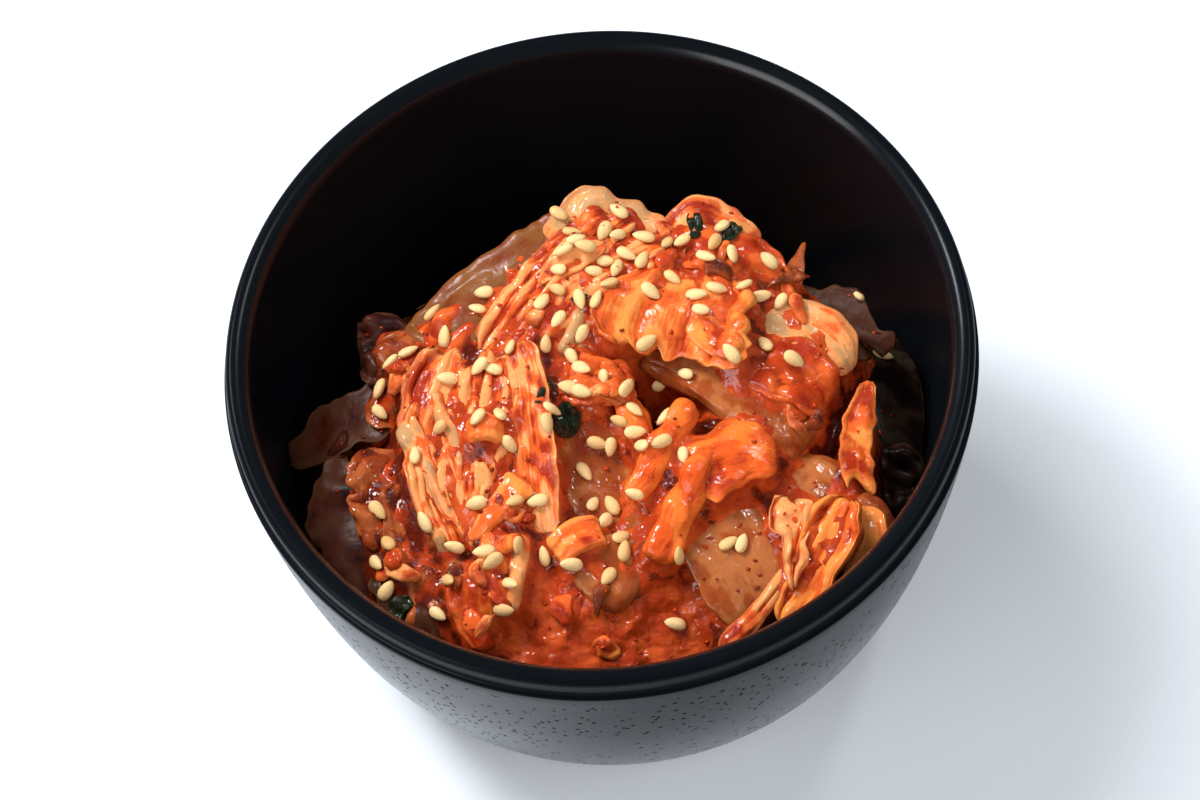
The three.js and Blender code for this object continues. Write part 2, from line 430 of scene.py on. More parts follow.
def make_piece(name, points, face_sets, material, layers=None, uv=None, replaces=True):
    """A closed mesh from points in millimetres and sets of faces with equal corners; its faces are
    turned outwards by the sign of its volume. Layers are values at the points."""
    if sum(volume(points, faces) for faces in face_sets) < 0:
        face_sets = [faces[:, ::-1] for faces in face_sets]
    mesh = bpy.data.meshes.new(name)
    faces = [corners for one_set in face_sets for corners in one_set.tolist()]
    mesh.from_pydata((points * MM).tolist(), [], faces)
    mesh.shade_smooth()
    for key, values in (layers or {}).items():
        layer = mesh.attributes.new(key, "FLOAT", "POINT")
        layer.data.foreach_set("value", np.asarray(values, np.float32).ravel())
    if uv is not None:
        corners = np.empty(len(mesh.loops), np.int32)
        mesh.loops.foreach_get("vertex_index", corners)
        chart = mesh.uv_layers.new(name="lengthwise")
        chart.data.foreach_set("uv", uv[corners].astype(np.float32).ravel())
    mesh.materials.append(material)
    piece = bpy.data.objects.new(name, mesh)
    bpy.context.scene.collection.objects.link(piece)
    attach(piece, BODY)
    if replaces:
        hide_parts(HEAP_NODE)
    return piece


def pole_caps(rows, columns):
    """Triangles that close a grid of wrapped rows to a pole point before it and one after it,
    whose numbers are rows * columns and the next one."""
    column = np.arange(columns)
    after = (column + 1) % columns
    first = np.stack([np.full(columns, rows * columns), column, after], axis=1)
    base = (rows - 1) * columns
    last = np.stack([np.full(columns, rows * columns + 1), base + after, base + column], axis=1)
    return np.concatenate([first, last])


# ---------------------------------------------------------------- the bowl and the heap's ground


class BowlShape:
    """Radii of the bowl's faces by height, from its sizes."""

    def __init__(self, sizes):
        self.top = BOWL_TOP
        self.rim = BODY_RADIUS - sizes.body_step / MM
        self.rounding = sizes.rim_rounding / MM
        self.inner_rounding = sizes.rim_thickness / MM - self.rounding
        self.inner_fall = sizes.lip_fall / MM
        self.inner = self.rim - sizes.rim_thickness / MM
        self.ledge = self.top - sizes.lip_band / MM
        self.base = sizes.base_radius / MM
        self.inner_base = self.base - sizes.wall / MM
        self.foot = sizes.foot_height / MM
        self.floor = self.foot + sizes.wall / MM
        self.foot_outer = sizes.foot_outer / MM
        self.foot_inner = sizes.foot_inner / MM
        self.inner_top = self.top - self.inner_fall

    @staticmethod
    def curve(top, base, share):
        """Radius that falls from top to base as share goes from 0 to 1: base plus the rest times
        (1 - share^1.2)^(1/3.4)."""
        return base + (top - base) * (1 - np.clip(share, 0, 1) ** 1.2) ** (1 / 3.4)

    def inner_radius(self, z, gap=0.3):
        """Radius of the inner face at a height, less a gap."""
        share = (self.inner_top - z) / (self.inner_top - self.floor - gap)
        return self.curve(self.inner, self.inner_base, share) - gap

    def profile(self):
        """The section from the underside's middle, up the outside, over the rim and down inside."""
        def arc(r, z, radius, start, end, steps, tall=None):
            angle = np.radians(np.linspace(start, end, steps))
            return np.stack([r + radius * np.cos(angle), z + (tall or radius) * np.sin(angle)], axis=1)

        def wall(top_radius, top, base_radius, base, steps):
            share = 1 - np.linspace(1, 0, steps) ** 2
            radius = self.curve(top_radius, base_radius, share)
            return np.stack([radius, top + (base - top) * share], axis=1)

        foot_round = 0.6
        ledge_round = 0.35
        outside = wall(BODY_RADIUS, self.ledge - ledge_round, self.base, self.foot, 60)[::-1]
        return np.concatenate([
            [[0, self.foot], [self.foot_inner - 3, self.foot]],
            arc(self.foot_inner + foot_round, foot_round, foot_round, 180, 270, 5),
            arc(self.foot_outer - foot_round, foot_round, foot_round, 270, 360, 5),
            [[self.foot_outer, self.foot - 0.3], [self.foot_outer + 0.4, self.foot]],
            outside,
            arc(BODY_RADIUS - ledge_round, self.ledge - ledge_round, ledge_round, 15, 90, 4),
            [[self.rim, self.ledge + 0.1], [self.rim, self.ledge + 0.6]],
            arc(self.rim - self.rounding, self.top - self.rounding, self.rounding, 0, 90, 10),
            arc(self.inner + self.inner_rounding, self.inner_top, self.inner_rounding, 90, 180, 14,
                self.inner_fall)[1:-1],
            wall(self.inner, self.inner_top, self.inner_base, self.floor, 60),
            [[self.inner_base - 6, self.floor], [0, self.floor]],
        ])


class Mound:
    """The plain mound under the pieces, high in the middle, lower along the front and steep behind."""

    PEAK = 57.5
    FRONT_EDGE = 42.0
    SIDE_DROP = 9.0
    FRONT_POWER = 1.8
    BACK_EDGE = 16.0
    BACK_STARTS = 0.12
    BACK_BLEND = 0.09
    CREST_SHARE = 0.52
    HOLLOWS = (15.0, (9, -4), (8, 6)), (6.0, (-3, -19), (7, 10))
    CROWN = 3.5, (8, 18), (18, 12)

    def __init__(self, shape):
        self.shape = shape

    def back(self, angle):
        """0 in front and 1 behind, turning softly at each side."""
        return 1 / (1 + np.exp((self.BACK_STARTS - np.sin(angle)) / self.BACK_BLEND))

    def edge(self, angle):
        """Height at which the mound meets the wall."""
        wave = 1.4 * np.sin(3 * angle + 0.6) + 0.84 * np.sin(7 * angle + 2)
        front = self.FRONT_EDGE - self.SIDE_DROP * np.abs(np.cos(angle)) ** 4
        return front + (self.BACK_EDGE - front) * self.back(angle) + wave

    def height(self, share, angle):
        """Height at a share of the way to the wall: the peak falling to the edge, by a power in
        front and by a smooth step behind, less the hollows that the pieces leave open."""
        fall_front = share ** self.FRONT_POWER
        fall_back = smooth_step(self.CREST_SHARE, 1.0, share)
        back = self.back(angle)
        fall = fall_front + (fall_back - fall_front) * back
        edge = self.edge(angle)
        reach = self.shape.inner_radius(edge)
        x, y = share * reach * np.cos(angle), share * reach * np.sin(angle)
        hollows = sum(depth * spot(x, y, *place) for depth, *place in self.HOLLOWS)
        crown = self.CROWN[0] * spot(x, y, *self.CROWN[1:])
        return self.PEAK + (edge - self.PEAK) * fall - hollows + crown

    def relief(self, x, y):
        """Folded leaf ends and small lumps on the mound."""
        folds = 1.0 * creases(x, y, 7.5, 11) + 0.3 * creases(x, y, 3.0, 12)
        return folds + 0.08 * ripples(x, y, 1.6, 13) - 0.9


class Ground:
    """Height of all that lies in the bowl so far, on a square grid of cells."""

    CELL = 0.5
    REACH = 60.0

    def __init__(self, mound, shape):
        ticks = np.arange(-self.REACH, self.REACH + self.CELL, self.CELL)
        x, y = np.meshgrid(ticks, ticks, indexing="ij")
        angle = np.arctan2(y, x)
        share = np.clip(np.hypot(x, y) / shape.inner_radius(mound.edge(angle)), 0, 1)
        self.z = mound.height(share, angle) + mound.relief(x, y) * (1 - share ** 8)

    def read(self, field, x, y):
        """A field's value between its cells, by the weighted mean of the four nearest."""
        limit = field.shape[0] - 1.001
        i = np.clip((x + self.REACH) / self.CELL, 0, limit)
        j = np.clip((y + self.REACH) / self.CELL, 0, limit)
        i0, j0 = i.astype(int), j.astype(int)
        a, b = i - i0, j - j0
        near = field[i0, j0] * (1 - b) + field[i0, j0 + 1] * b
        far = field[i0 + 1, j0] * (1 - b) + field[i0 + 1, j0 + 1] * b
        return near * (1 - a) + far * a

    def blurred(self, radius):
        """The ground smoothed by a bell curve of that radius, in millimetres."""
        steps = int(math.ceil(2.5 * radius / self.CELL))
        bell = np.exp(-0.5 * (np.arange(-steps, steps + 1) * self.CELL / radius) ** 2)
        bell /= bell.sum()
        field = np.pad(self.z, steps, mode="edge")
        for axis in (0, 1):
            field = np.apply_along_axis(np.convolve, axis, field, bell, mode="valid")
        return field

    def lay(self, points):
        """Raises the ground to a grid of points, filled in to twice as many each way."""
        for axis in (0, 1):
            middle = (np.take(points, range(1, points.shape[axis]), axis)
                      + np.take(points, range(points.shape[axis] - 1), axis)) / 2
            points = np.concatenate([points, middle], axis)
        flat = points.reshape(-1, 3)
        i = np.clip(np.rint((flat[:, 0] + self.REACH) / self.CELL).astype(int), 0, self.z.shape[0] - 1)
        j = np.clip(np.rint((flat[:, 1] + self.REACH) / self.CELL).astype(int), 0, self.z.shape[1] - 1)
        np.maximum.at(self.z, (i, j), flat[:, 2])


def grid_normals(points):
    """Unit normals of a grid of points: the cross product of its two slopes."""
    normals = np.cross(np.gradient(points, axis=0), np.gradient(points, axis=1))
    return normals / np.maximum(np.linalg.norm(normals, axis=-1, keepdims=True), 1e-9)


def path_axes(path, turn):
    """Axes across a path and out of it at each point, turned about it by an angle."""
    tangent = np.gradient(path, axis=0)
    tangent /= np.linalg.norm(tangent, axis=1, keepdims=True)
    side = np.cross(tangent, [0, 0, 1.0])
    side /= np.maximum(np.linalg.norm(side, axis=1, keepdims=True), 1e-6)
    up = np.cross(side, tangent)
    return side * math.cos(turn) + up * math.sin(turn), up * math.cos(turn) - side * math.sin(turn)


class Strip:
    """A leaf, stem or stick: a section carried along a smooth path through its spine. Its grid holds
    shares along it, `u` from 0 to 1, and across it, `v` from -1 to 1. Its ends are cut across, with
    corners rounded by `corner`, and its edges are uneven by the share `ragged`."""

    SPACING, FINE_SPACING = 0.45, 0.34

    def __init__(self, spine, widths, thick, fine, corner, ragged, seed):
        self.spine = np.asarray(spine, float)
        self.seed = seed
        self.run = np.linalg.norm(np.diff(self.spine, axis=0), axis=1).sum()
        self.mean_half = float(np.mean(widths))
        rows = int(np.clip(self.run / self.SPACING, 24, 200))
        columns = int(np.clip(2 * max(widths) / (self.FINE_SPACING if fine else self.SPACING), 14, 90))
        self.along = np.linspace(0, 1, rows)
        even = np.linspace(-1, 1, columns)
        crowd = 0.5 if thick < 1 else 0.85
        self.across = (1 - crowd) * even + crowd * np.sin(np.pi / 2 * even)
        self.u, self.v = np.meshgrid(self.along, self.across, indexing="ij")
        self.reach = self.half_widths(widths, corner, ragged)
        from_sides = (1 - np.abs(self.v)) * self.reach
        self.from_edge = np.minimum(from_sides, (0.5 - np.abs(self.u - 0.5)) * self.run)
        self.x, self.y = self.u * self.run, self.v * self.reach

    def half_widths(self, widths, corner, ragged):
        """Half widths all over the grid, with round corners and each edge uneven by itself."""
        end = np.clip(1 - (0.5 - np.abs(self.along - 0.5)) * self.run / corner, 0, 1)
        half = smooth_through(widths, self.along)
        half = half - np.minimum(0.95 * half, corner) * (1 - np.sqrt(1 - end ** 2))
        left, right = (1 + ragged * self.edge_wave(place) for place in (0, 9))
        return half[:, None] * np.where(self.v < 0, left[:, None], right[:, None])

    def edge_wave(self, place):
        """Long and short waves along one edge."""
        x = self.along * self.run
        return ripples(x, place, 9, self.seed) + 0.4 * ripples(x, place, 3.5, self.seed + 1)

    def section(self, bow, curl):
        """Distances out and up across the strip, which turns by `bow` degrees in all and by `curl`
        degrees more near each edge."""
        near_edges = curl[1] * smooth_step(0.45, 1, self.v) - curl[0] * smooth_step(0.45, 1, -self.v)
        turned = np.radians(bow * self.v / 2 + near_edges)
        steps = np.gradient(self.across)
        middle = len(self.across) // 2
        sums = [np.cumsum(part * steps, axis=1) for part in (np.cos(turned), np.sin(turned))]
        return [(part - part[:, middle:middle + 1]) * self.reach for part in sums]

    def points(self, roll, bow, curl, torn):
        """The strip in place, rolled by `roll` degrees, with ends uneven by the share `torn`."""
        side, up = path_axes(smooth_through(self.spine, self.along), math.radians(roll))
        flat, rise = self.section(bow, curl)
        tear = 0.6 + 0.5 * ripples(self.v * self.mean_half, np.sign(self.u - 0.5) * 7, 5, self.seed + 3)
        share = 0.5 + (self.u - 0.5) * (1 - torn * tear)
        return (smooth_through(self.spine, share) + smooth_through(side, share) * flat[..., None]
                + smooth_through(up, share) * rise[..., None])

    def rested(self, z, below, cling, tuck, free):
        """Heights that rest on what lies below, less `cling` of the gap, with the edges tucked in."""
        gap = z - below
        soft_gap = 0.5 * (gap + np.sqrt(gap ** 2 + 1.0)) * (1 - cling)
        tucked = tuck * (1 - free * smooth_step(0.5, 0.9, self.u))
        return below + soft_gap - tucked * np.exp(-((self.from_edge / 1.2) ** 2))

    def relief(self, ribs, strands, folds):
        """Shapes of the ribs, the finer strands and the sharp folds, and the height all of them add."""
        drift = 0.6 * ripples(0.15 * self.x, self.y, 8, self.seed + 5)
        rib = np.sqrt(0.5 + 0.5 * np.sin(self.v * ribs[0] * np.pi + drift))
        strand = ripples(0.10 * self.x, self.v * self.mean_half, 1.6, self.seed + 6) * min(1.0, 9 * strands)
        fold = creases(0.5 * self.x, self.y, folds[1], self.seed + 7)
        lift = ribs[1] * (rib - 0.5) + strands * strand + folds[0] * (fold - 0.4)
        lift = lift + 0.8 * folds[0] * ripples(self.x, self.y, 1.3 * folds[1], self.seed + 9)
        return rib, strand, fold, lift

    def patches(self, mean, spread):
        """Stains in large and small patches round a mean."""
        waves = ripples(self.x, self.y, 8, self.seed + 11) + 0.5 * ripples(self.x, self.y, 3, self.seed + 12)
        return mean + spread * waves

    def edge_depth(self, square):
        """1 inside and 0 at the edges, as the root of (1 - across^square)(1 - along^8)."""
        edge = (1 - np.abs(self.v) ** square) * (1 - np.abs(2 * self.u - 1) ** 8)
        return np.sqrt(np.maximum(edge, 0))

    def chart(self):
        """The strip laid out flat, a unit to each 100 mm."""
        return np.stack([self.x / 100, self.v * self.mean_half / 100 + 0.5], axis=-1)


class Heap:
    """The heap as it is built: the bowl's shape, the ground so far, and the finishes."""

    FILM_GRID = 110, 300
    FILM_REACH = 0.985
    FILM_DEPTH = 0.8

    def __init__(self, scene):
        self.shape = BowlShape(scene.kimchi_bowl)
        self.mound = Mound(self.shape)
        self.ground = Ground(self.mound, self.shape)
        self.finish = finishes(scene.kimchi_colours)

    def keep_inside(self, points):
        """Draws points in to the bowl's inner face, and leaves the others."""
        reach = np.hypot(points[..., 0], points[..., 1])
        limit = self.shape.inner_radius(np.minimum(points[..., 2], self.shape.inner_top), 0.5)
        share = np.minimum(1, limit / np.maximum(reach, 1e-6))
        points[..., 0] *= share
        points[..., 1] *= share
        return points

    def lay_piece(self, name, finish, spine, widths, thick=0.5, roll=0.0, bow=0.0, curl=(0.0, 0.0),
                  ribs=(0, 0.0), strands=0.0, folds=(0.25, 7.0), torn=0.0, ragged=0.04, corner=2.5,
                  square=4.0, stain_and_shade=(0.45, 0.2), cling=0.0, tuck=0.4, free=0.0,
                  sink=0.25, rest=1.2, seed=1):
        """Lays one strip, given by its spine, its half widths and its thickness. Where it would pass
        through what lies below, it rests on that instead, smoothed by `rest` millimetres and raised
        by `sink` of its thickness. `cling` is the share of the gap below it that it closes. Its
        edges are tucked in by `tuck` millimetres, less towards its end by the share `free`. `ribs`
        is their number and height, `strands` the height of finer ones, `folds` the height and
        spacing of sharp folds, and the pair for its staining the mean and the spread of it; the
        staining gathers between its ribs and thins out on its strands and folds. Where the strip
        lies sunk below what is round it, its colour is darkened as painted shade in that recess."""
        strip = Strip(spine, widths, thick, bool(strands), corner, ragged, seed)
        points = strip.points(roll, bow, curl, torn)
        below = self.ground.read(self.ground.blurred(rest), points[..., 0], points[..., 1]) + sink * thick
        points[..., 2] = strip.rested(points[..., 2], below, cling, tuck, free)
        points = self.keep_inside(points)
        rib, strand, fold, lift = strip.relief(ribs, strands, folds)
        lifted = lift * (0.4 + 0.6 * smooth_step(0, 1.2, strip.from_edge))
        points = self.keep_inside(points + self.upward(points) * lifted[..., None])
        depth = self.upward(points) * (0.5 * thick * strip.edge_depth(square))[..., None]
        self.ground.lay(points + depth)
        # Painted shade: how far the piece lies below what is round it darkens its colour in that recess.
        painted_recess_shade = np.clip(below - 0.25 * thick - points[..., 2] + lift.max() * 0.5, -0.5, 1.0)
        stains_and_shade = strip.patches(*stain_and_shade) - 0.24 * strand - 0.15 * (fold - 0.8) + 0.25 * painted_recess_shade
        stains_and_shade = stains_and_shade + 0.5 * (0.6 - rib) * (ribs[0] > 0)
        layers = {"stain_and_shade": np.clip(stains_and_shade, 0, 1), "edge": np.exp(-((strip.from_edge / 0.8) ** 2))}
        self.close_sheet(name, finish, points + depth, points - depth, layers, strip.chart())

    @staticmethod
    def upward(points):
        """Normals of a grid of points, on the side that looks up."""
        normals = grid_normals(points)
        return -normals if normals[..., 2].mean() < 0 else normals

    def lay_film(self, name, finish, blur, drop, level, seed):
        """Lays a film over the heap's area whose top is the ground blurred and dropped, so that it
        shows only where it fills a gap. `level` gives a further drop at each place. Its colour is
        darkened as painted shade in deep gaps, by the wall and at the left, over real staining in
        patches."""
        rings, sides = self.FILM_GRID
        share = (np.arange(rings) + 0.5)[:, None] / rings * self.FILM_REACH
        angle = np.linspace(0, 2 * np.pi, sides, endpoint=False)
        reach = self.shape.inner_radius(self.mound.edge(angle))
        x, y = share * reach * np.cos(angle), share * reach * np.sin(angle)
        z = self.ground.read(self.ground.blurred(blur), x, y) - drop - level(x, y)
        filled = np.clip(z - self.ground.read(self.ground.z, x, y), 0, 3)
        z = z + 0.2 * ripples(x, y, 3.4, seed) + 0.07 * ripples(x, y, 1.3, seed + 1)
        top = self.keep_inside(np.stack([x, y, z], axis=-1))
        self.ground.lay(top)
        grid = np.concatenate([top, top[::-1] - [0, 0, self.FILM_DEPTH]])
        poles = grid[[0, -1]].mean(axis=1)
        # Painted shade: darker by the wall, at the left and where the film fills a deep gap; the ripples add
        # real staining in patches.
        stains_and_shade = 0.28 + 0.5 * smooth_step(0.85, 0.98, share) + 0.4 * smooth_step(-20, -36, x)
        stains_and_shade = stains_and_shade + 0.25 * filled + 0.15 * ripples(x, y, 8, seed + 2) + 0.1 * ripples(x, y, 3, seed + 3)
        stains_and_shade = np.clip(stains_and_shade, 0, 1)
        stains_and_shade = np.append(np.concatenate([stains_and_shade, stains_and_shade[::-1]]), [0.5, 0.5])
        faces = [grid_faces(2 * rings, sides, wrap=True), pole_caps(2 * rings, sides)]
        points = np.concatenate([grid.reshape(-1, 3), poles])
        uv = points[:, :2] / 100 + 0.5
        make_piece(name, points, faces, self.finish[finish], {"stain_and_shade": stains_and_shade}, uv)

    def close_sheet(self, name, finish, top, bottom, layers, uv):
        """Joins a top and a bottom grid that meet along their outline into one closed mesh."""
        rows, columns = top.shape[:2]
        number = np.arange(rows * columns).reshape(rows, columns)
        under = np.full((rows, columns), -1)
        inner = (rows - 2) * (columns - 2)
        under[1:-1, 1:-1] = rows * columns + np.arange(inner).reshape(rows - 2, columns - 2)
        under = np.where(under < 0, number, under).ravel()
        faces = grid_faces(rows, columns)
        back = under[faces][:, ::-1]
        inside = (slice(1, -1), slice(1, -1))
        points = np.concatenate([top.reshape(-1, 3), bottom[inside].reshape(-1, 3)])
        layers = {key: np.concatenate([values.ravel(), values[inside].ravel()])
                  for key, values in layers.items()}
        chart = np.concatenate([uv.reshape(-1, 2), uv[inside].reshape(-1, 2)])
        make_piece(name, points, [faces, back], self.finish[finish], layers, chart)


heap = None
"""The heap that the operators below lay their pieces on; the core's operator makes it."""


# ---------------------------------------------------------------- operators


class PieceOperator(bpy.types.Operator):
    """Adds one piece or one group of like pieces."""

    bl_options = {"REGISTER", "UNDO"}

    def execute(self, context):
        self.build(context.scene)
        return {"FINISHED"}


class KIMCHI_OT_bowl(PieceOperator):
    """Adds the black bowl, a section turned round the Z axis"""

    bl_idname = "kimchi.bowl"
    bl_label = "Bowl"

    SIDES = 288

    def build(self, scene):
        sides = self.SIDES
        profile = BowlShape(scene.kimchi_bowl).profile()
        ring, angle = profile[1:-1], np.linspace(0, 2 * np.pi, sides, endpoint=False)
        x = ring[:, 0, None] * np.cos(angle)
        y = ring[:, 0, None] * np.sin(angle)
        z = np.broadcast_to(ring[:, 1, None], x.shape)
        points = np.stack([x, y, z], axis=-1).reshape(-1, 3)
        poles = [[0, 0, profile[0][1]], [0, 0, profile[-1][1]]]
        sheen, pitted = self.wear(ring[:, 1])
        layers = {"sheen": np.append(np.repeat(sheen, sides), [1, 0]),
                  "pitted": np.append(np.repeat(pitted, sides), [0, 0])}
        faces = [grid_faces(len(ring), sides, wrap=True), pole_caps(len(ring), sides)]
        material = bowl_finish(tuple(scene.kimchi_colours.bowl))
        piece = make_piece("rice_bowl", np.concatenate([points, poles]), faces, material,
                           layers, replaces=False)
        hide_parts("bowl")

    def wear(self, heights):
        """Sheen and pits along the section: outside, both grow from the lip band down; inside,
        there are no pits and the sheen is a thin line just under the rim."""
        depth = BOWL_TOP - heights
        is_inside = np.arange(len(heights)) > heights.argmax()
        outside = (0.35 + 0.58 * smooth_step(12, 45, depth)) * (0.15 + 0.85 * smooth_step(3.4, 4.8, depth))
        inside = 0.05 + 1.25 * np.exp(-(((depth - 1.1) / 0.75) ** 2)) - 0.05 * smooth_step(1.5, 3, depth)
        return np.where(is_inside, inside, outside), np.where(is_inside, 0, smooth_step(5, 9, depth))


class KIMCHI_OT_core(PieceOperator):
    """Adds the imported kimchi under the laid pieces, with folded relief"""

    bl_idname = "kimchi.core"
    bl_label = "Packed kimchi"

    SIDES, TOP_ROWS, WALL_ROWS = 440, 150, 24

    def build(self, scene):
        global heap
        heap = Heap(scene)
        sides, top_rows, wall_rows = self.SIDES, self.TOP_ROWS, self.WALL_ROWS
        angle = np.linspace(0, 2 * np.pi, sides, endpoint=False)
        share = np.linspace(1 / top_rows, 1, top_rows)[:, None]
        edge = heap.mound.edge(angle)
        reach = heap.shape.inner_radius(edge)
        x, y = share * reach * np.cos(angle), share * reach * np.sin(angle)
        z = heap.mound.height(share, angle) + heap.mound.relief(x, y) * (1 - share ** 8)
        base = heap.shape.floor + 0.3
        drop = np.linspace(0, 1, wall_rows + 1)[1:, None] ** 0.8
        wall_z = edge + (base - edge) * drop
        wall_r = heap.shape.inner_radius(wall_z)
        wall = np.stack([wall_r * np.cos(angle), wall_r * np.sin(angle), wall_z], axis=-1)
        grid = np.concatenate([np.stack([x, y, z], axis=-1), wall])
        middle = np.zeros(1)
        top = heap.mound.height(middle, middle)[0] + heap.mound.relief(middle, middle)[0]
        points = np.concatenate([grid.reshape(-1, 3), [[0, 0, top], [0, 0, base]]])
        flat = points[:, :2].T
        stains_and_shade = 0.42 + 0.12 * ripples(*flat, 9, 21) + 0.08 * ripples(*flat, 3, 22)
        # Painted shade: darker in the open hollow under the drooping leaf.
        stains_and_shade = stains_and_shade + 0.6 * spot(*flat, (9, -4), (9, 8))
        faces = [grid_faces(len(grid), sides, wrap=True), pole_caps(len(grid), sides)]
        layers = {"stain_and_shade": np.clip(stains_and_shade, 0, 1)}
        uv = flat.T / 100 + 0.5
        make_piece("packed_kimchi", points, faces, heap.finish["sauce"], layers, uv)


class KIMCHI_OT_wall_leaves(PieceOperator):
    """Adds the dark, clear leaves that lean on the bowl's wall at each side"""

    bl_idname = "kimchi.wall_leaves"
    bl_label = "Leaves at the wall"

    def build(self, scene):
        lay = heap.lay_piece
        lay("wall_leaf_left", "shaded_clear_leaf", [(-32, 6, 49), (-41, 2, 47), (-48, 0, 45), (-54, -2, 43)],
            [6, 5.5, 4.5, 2.5], roll=-8, bow=30, folds=(0.25, 9), ragged=0.12, stain_and_shade=(0.1, 0.2), seed=101)
        lay("wall_leaf_left_front", "shaded_clear_leaf",
            [(-44, 0, 46), (-47, -9, 46), (-47, -18, 45), (-44, -28, 44)], [3, 4.5, 5, 4], roll=-20, bow=30,
            folds=(0.3, 7), ragged=0.12, torn=0.2, cling=0.6, tuck=0.8, seed=102)
        lay("wall_leaf_right", "shaded_dark_leaf", [(41, 14, 48), (47, 4, 49), (49.5, -8, 48), (46, -20, 45)],
            [6, 7.5, 7.5, 5], roll=10, folds=(0.12, 12), ragged=0.08, cling=0.5, stain_and_shade=(0.4, 0.4), seed=103)
        lay("wall_crumple_right", "shaded_dark_leaf", [(45, -16, 48), (46.4, -22, 48), (45, -28, 47)], [3, 3.6, 3],
            folds=(0.8, 3), ragged=0.15, stain_and_shade=(0.9, 0.2), seed=104)
        lay("wall_leaf_back", "soaked_leaf", [(29, 8, 55), (33, 13, 56), (36.4, 20, 55.5)], [3.4, 1.8, 0.35],
            bow=50, folds=(0.2, 5), ragged=0.15, corner=0.4, stain_and_shade=(0.3, 0.2), seed=105)
        lay("wall_leaf_rear", "shaded_clear_leaf", [(28, 11, 54), (35, 9, 53.5), (41, 5, 52), (46, -1, 50)],
            [3, 4.4, 4.4, 3], bow=40, folds=(0.25, 8), ragged=0.16, torn=0.25, stain_and_shade=(0.2, 0.25), seed=106)
        lay("left_crumple", "shaded_clear_leaf", [(-40, 12, 49), (-34, 12, 51), (-27, 7, 53)], [5, 6.5, 6], bow=50,
            folds=(0.6, 4.5), ragged=0.14, stain_and_shade=(0.65, 0.3), tuck=1.0, seed=113)
        lay("left_red_crumple", "soaked_leaf", [(-37, 8, 51), (-32, 8, 53), (-27, 3, 54)], [2.5, 4.5, 4],
            thick=1.5, bow=60, folds=(0.5, 4.5), ragged=0.12, stain_and_shade=(0.7, 0.25), seed=114)
        lay("left_clear_leaf", "soaked_leaf", [(-39, 3, 49), (-34, 1, 51), (-28, -2, 53)], [4, 5, 4.5],
            bow=30, folds=(0.3, 6), ragged=0.08, stain_and_shade=(0.2, 0.25), cling=0.3, seed=115)
        lay("front_left_leaf", "shaded_clear_leaf",
            [(-42, -6, 50), (-44.5, -14, 49), (-43, -23, 48), (-39, -33, 45)], [4, 6.5, 6.5, 5], roll=-14,
            bow=40, folds=(0.35, 8), ragged=0.12, torn=0.15, stain_and_shade=(0.4, 0.25), seed=107)
        lay("front_left_rib", "soaked_leaf",
            [(-40.5, -5, 51.5), (-40, -12, 52.5), (-39.5, -18, 52), (-39, -25, 49.5)], [3.4, 4.6, 4.4, 2.4],
            thick=1.2, bow=80, folds=(0.55, 4.5), ragged=0.14, torn=0.15, stain_and_shade=(0.35, 0.3), tuck=0.9,
            cling=0.2, seed=109)
        lay("front_left_fold", "soaked_leaf",
            [(-34, -13, 53), (-33.4, -22, 52), (-31.6, -32, 50), (-30, -40, 47)], [4, 5, 5.5, 4], bow=60,
            strands=0.1, folds=(0.4, 5), ragged=0.12, stain_and_shade=(0.35, 0.4), tuck=0.8, cling=0.2, seed=111)
        lay("front_left_end", "shaded_clear_leaf", [(-40, -27, 48), (-36, -34, 47), (-30, -41, 46)], [3, 4, 3.6],
            bow=60, folds=(0.3, 6), ragged=0.08, stain_and_shade=(0.5, 0.45), tuck=0.8, seed=112)
        lay("front_left_chunk", "red_leaf", [(-27, -31, 52), (-26, -37, 50.5), (-23, -43, 48)], [3, 3.6, 3],
            thick=1.6, bow=70, folds=(0.5, 4), ragged=0.08, stain_and_shade=(0.5, 0.4), tuck=0.6, seed=116)


class KIMCHI_OT_back_leaves(PieceOperator):
    """Adds the leaves that hang down the heap's steep back"""

    bl_idname = "kimchi.back_leaves"
    bl_label = "Leaves behind"

    def build(self, scene):
        lay = heap.lay_piece
        hanging = {"cling": 0.7, "tuck": 0.8, "rest": 2.5, "ragged": 0.10, "strands": 0.08, "torn": 0.15}
        lay("back_leaf_far_left", "soaked_leaf",
            [(-26, 14, 54), (-32, 24, 46), (-36, 31, 36), (-37, 34, 26)], [7, 8, 7, 6], folds=(0.3, 8),
            stain_and_shade=(0.3, 0.3), seed=201, **hanging)
        lay("back_leaf_far_right", "soaked_leaf", [(34, 12, 56), (40, 20, 48), (43, 26, 38), (44, 28, 28)],
            [7, 8, 7, 6], folds=(0.3, 8), stain_and_shade=(0.4, 0.3), seed=202, **hanging)
        lay("back_leaf_middle", "orange_leaf", [(3, 26, 62), (4, 35, 53), (4, 42, 42), (4, 47, 28)],
            [7, 9.5, 9, 7], folds=(0.25, 9), ribs=(3, 0.35), stain_and_shade=(0.5, 0.25), seed=203, **hanging)
        lay("back_leaf_left", "leaf", [(-13, 22, 59), (-17, 31, 51), (-20, 38, 41), (-22, 42, 27)],
            [7, 9, 9, 7], folds=(0.3, 8), ribs=(3, 0.35), stain_and_shade=(0.55, 0.25), seed=204, **hanging)
        lay("back_leaf_right", "leaf", [(20, 22, 61), (24, 31, 52), (27, 37, 42), (28, 40, 28)],
            [7, 9, 9, 7], folds=(0.3, 8), ribs=(3, 0.35), stain_and_shade=(0.6, 0.25), seed=205, **hanging)


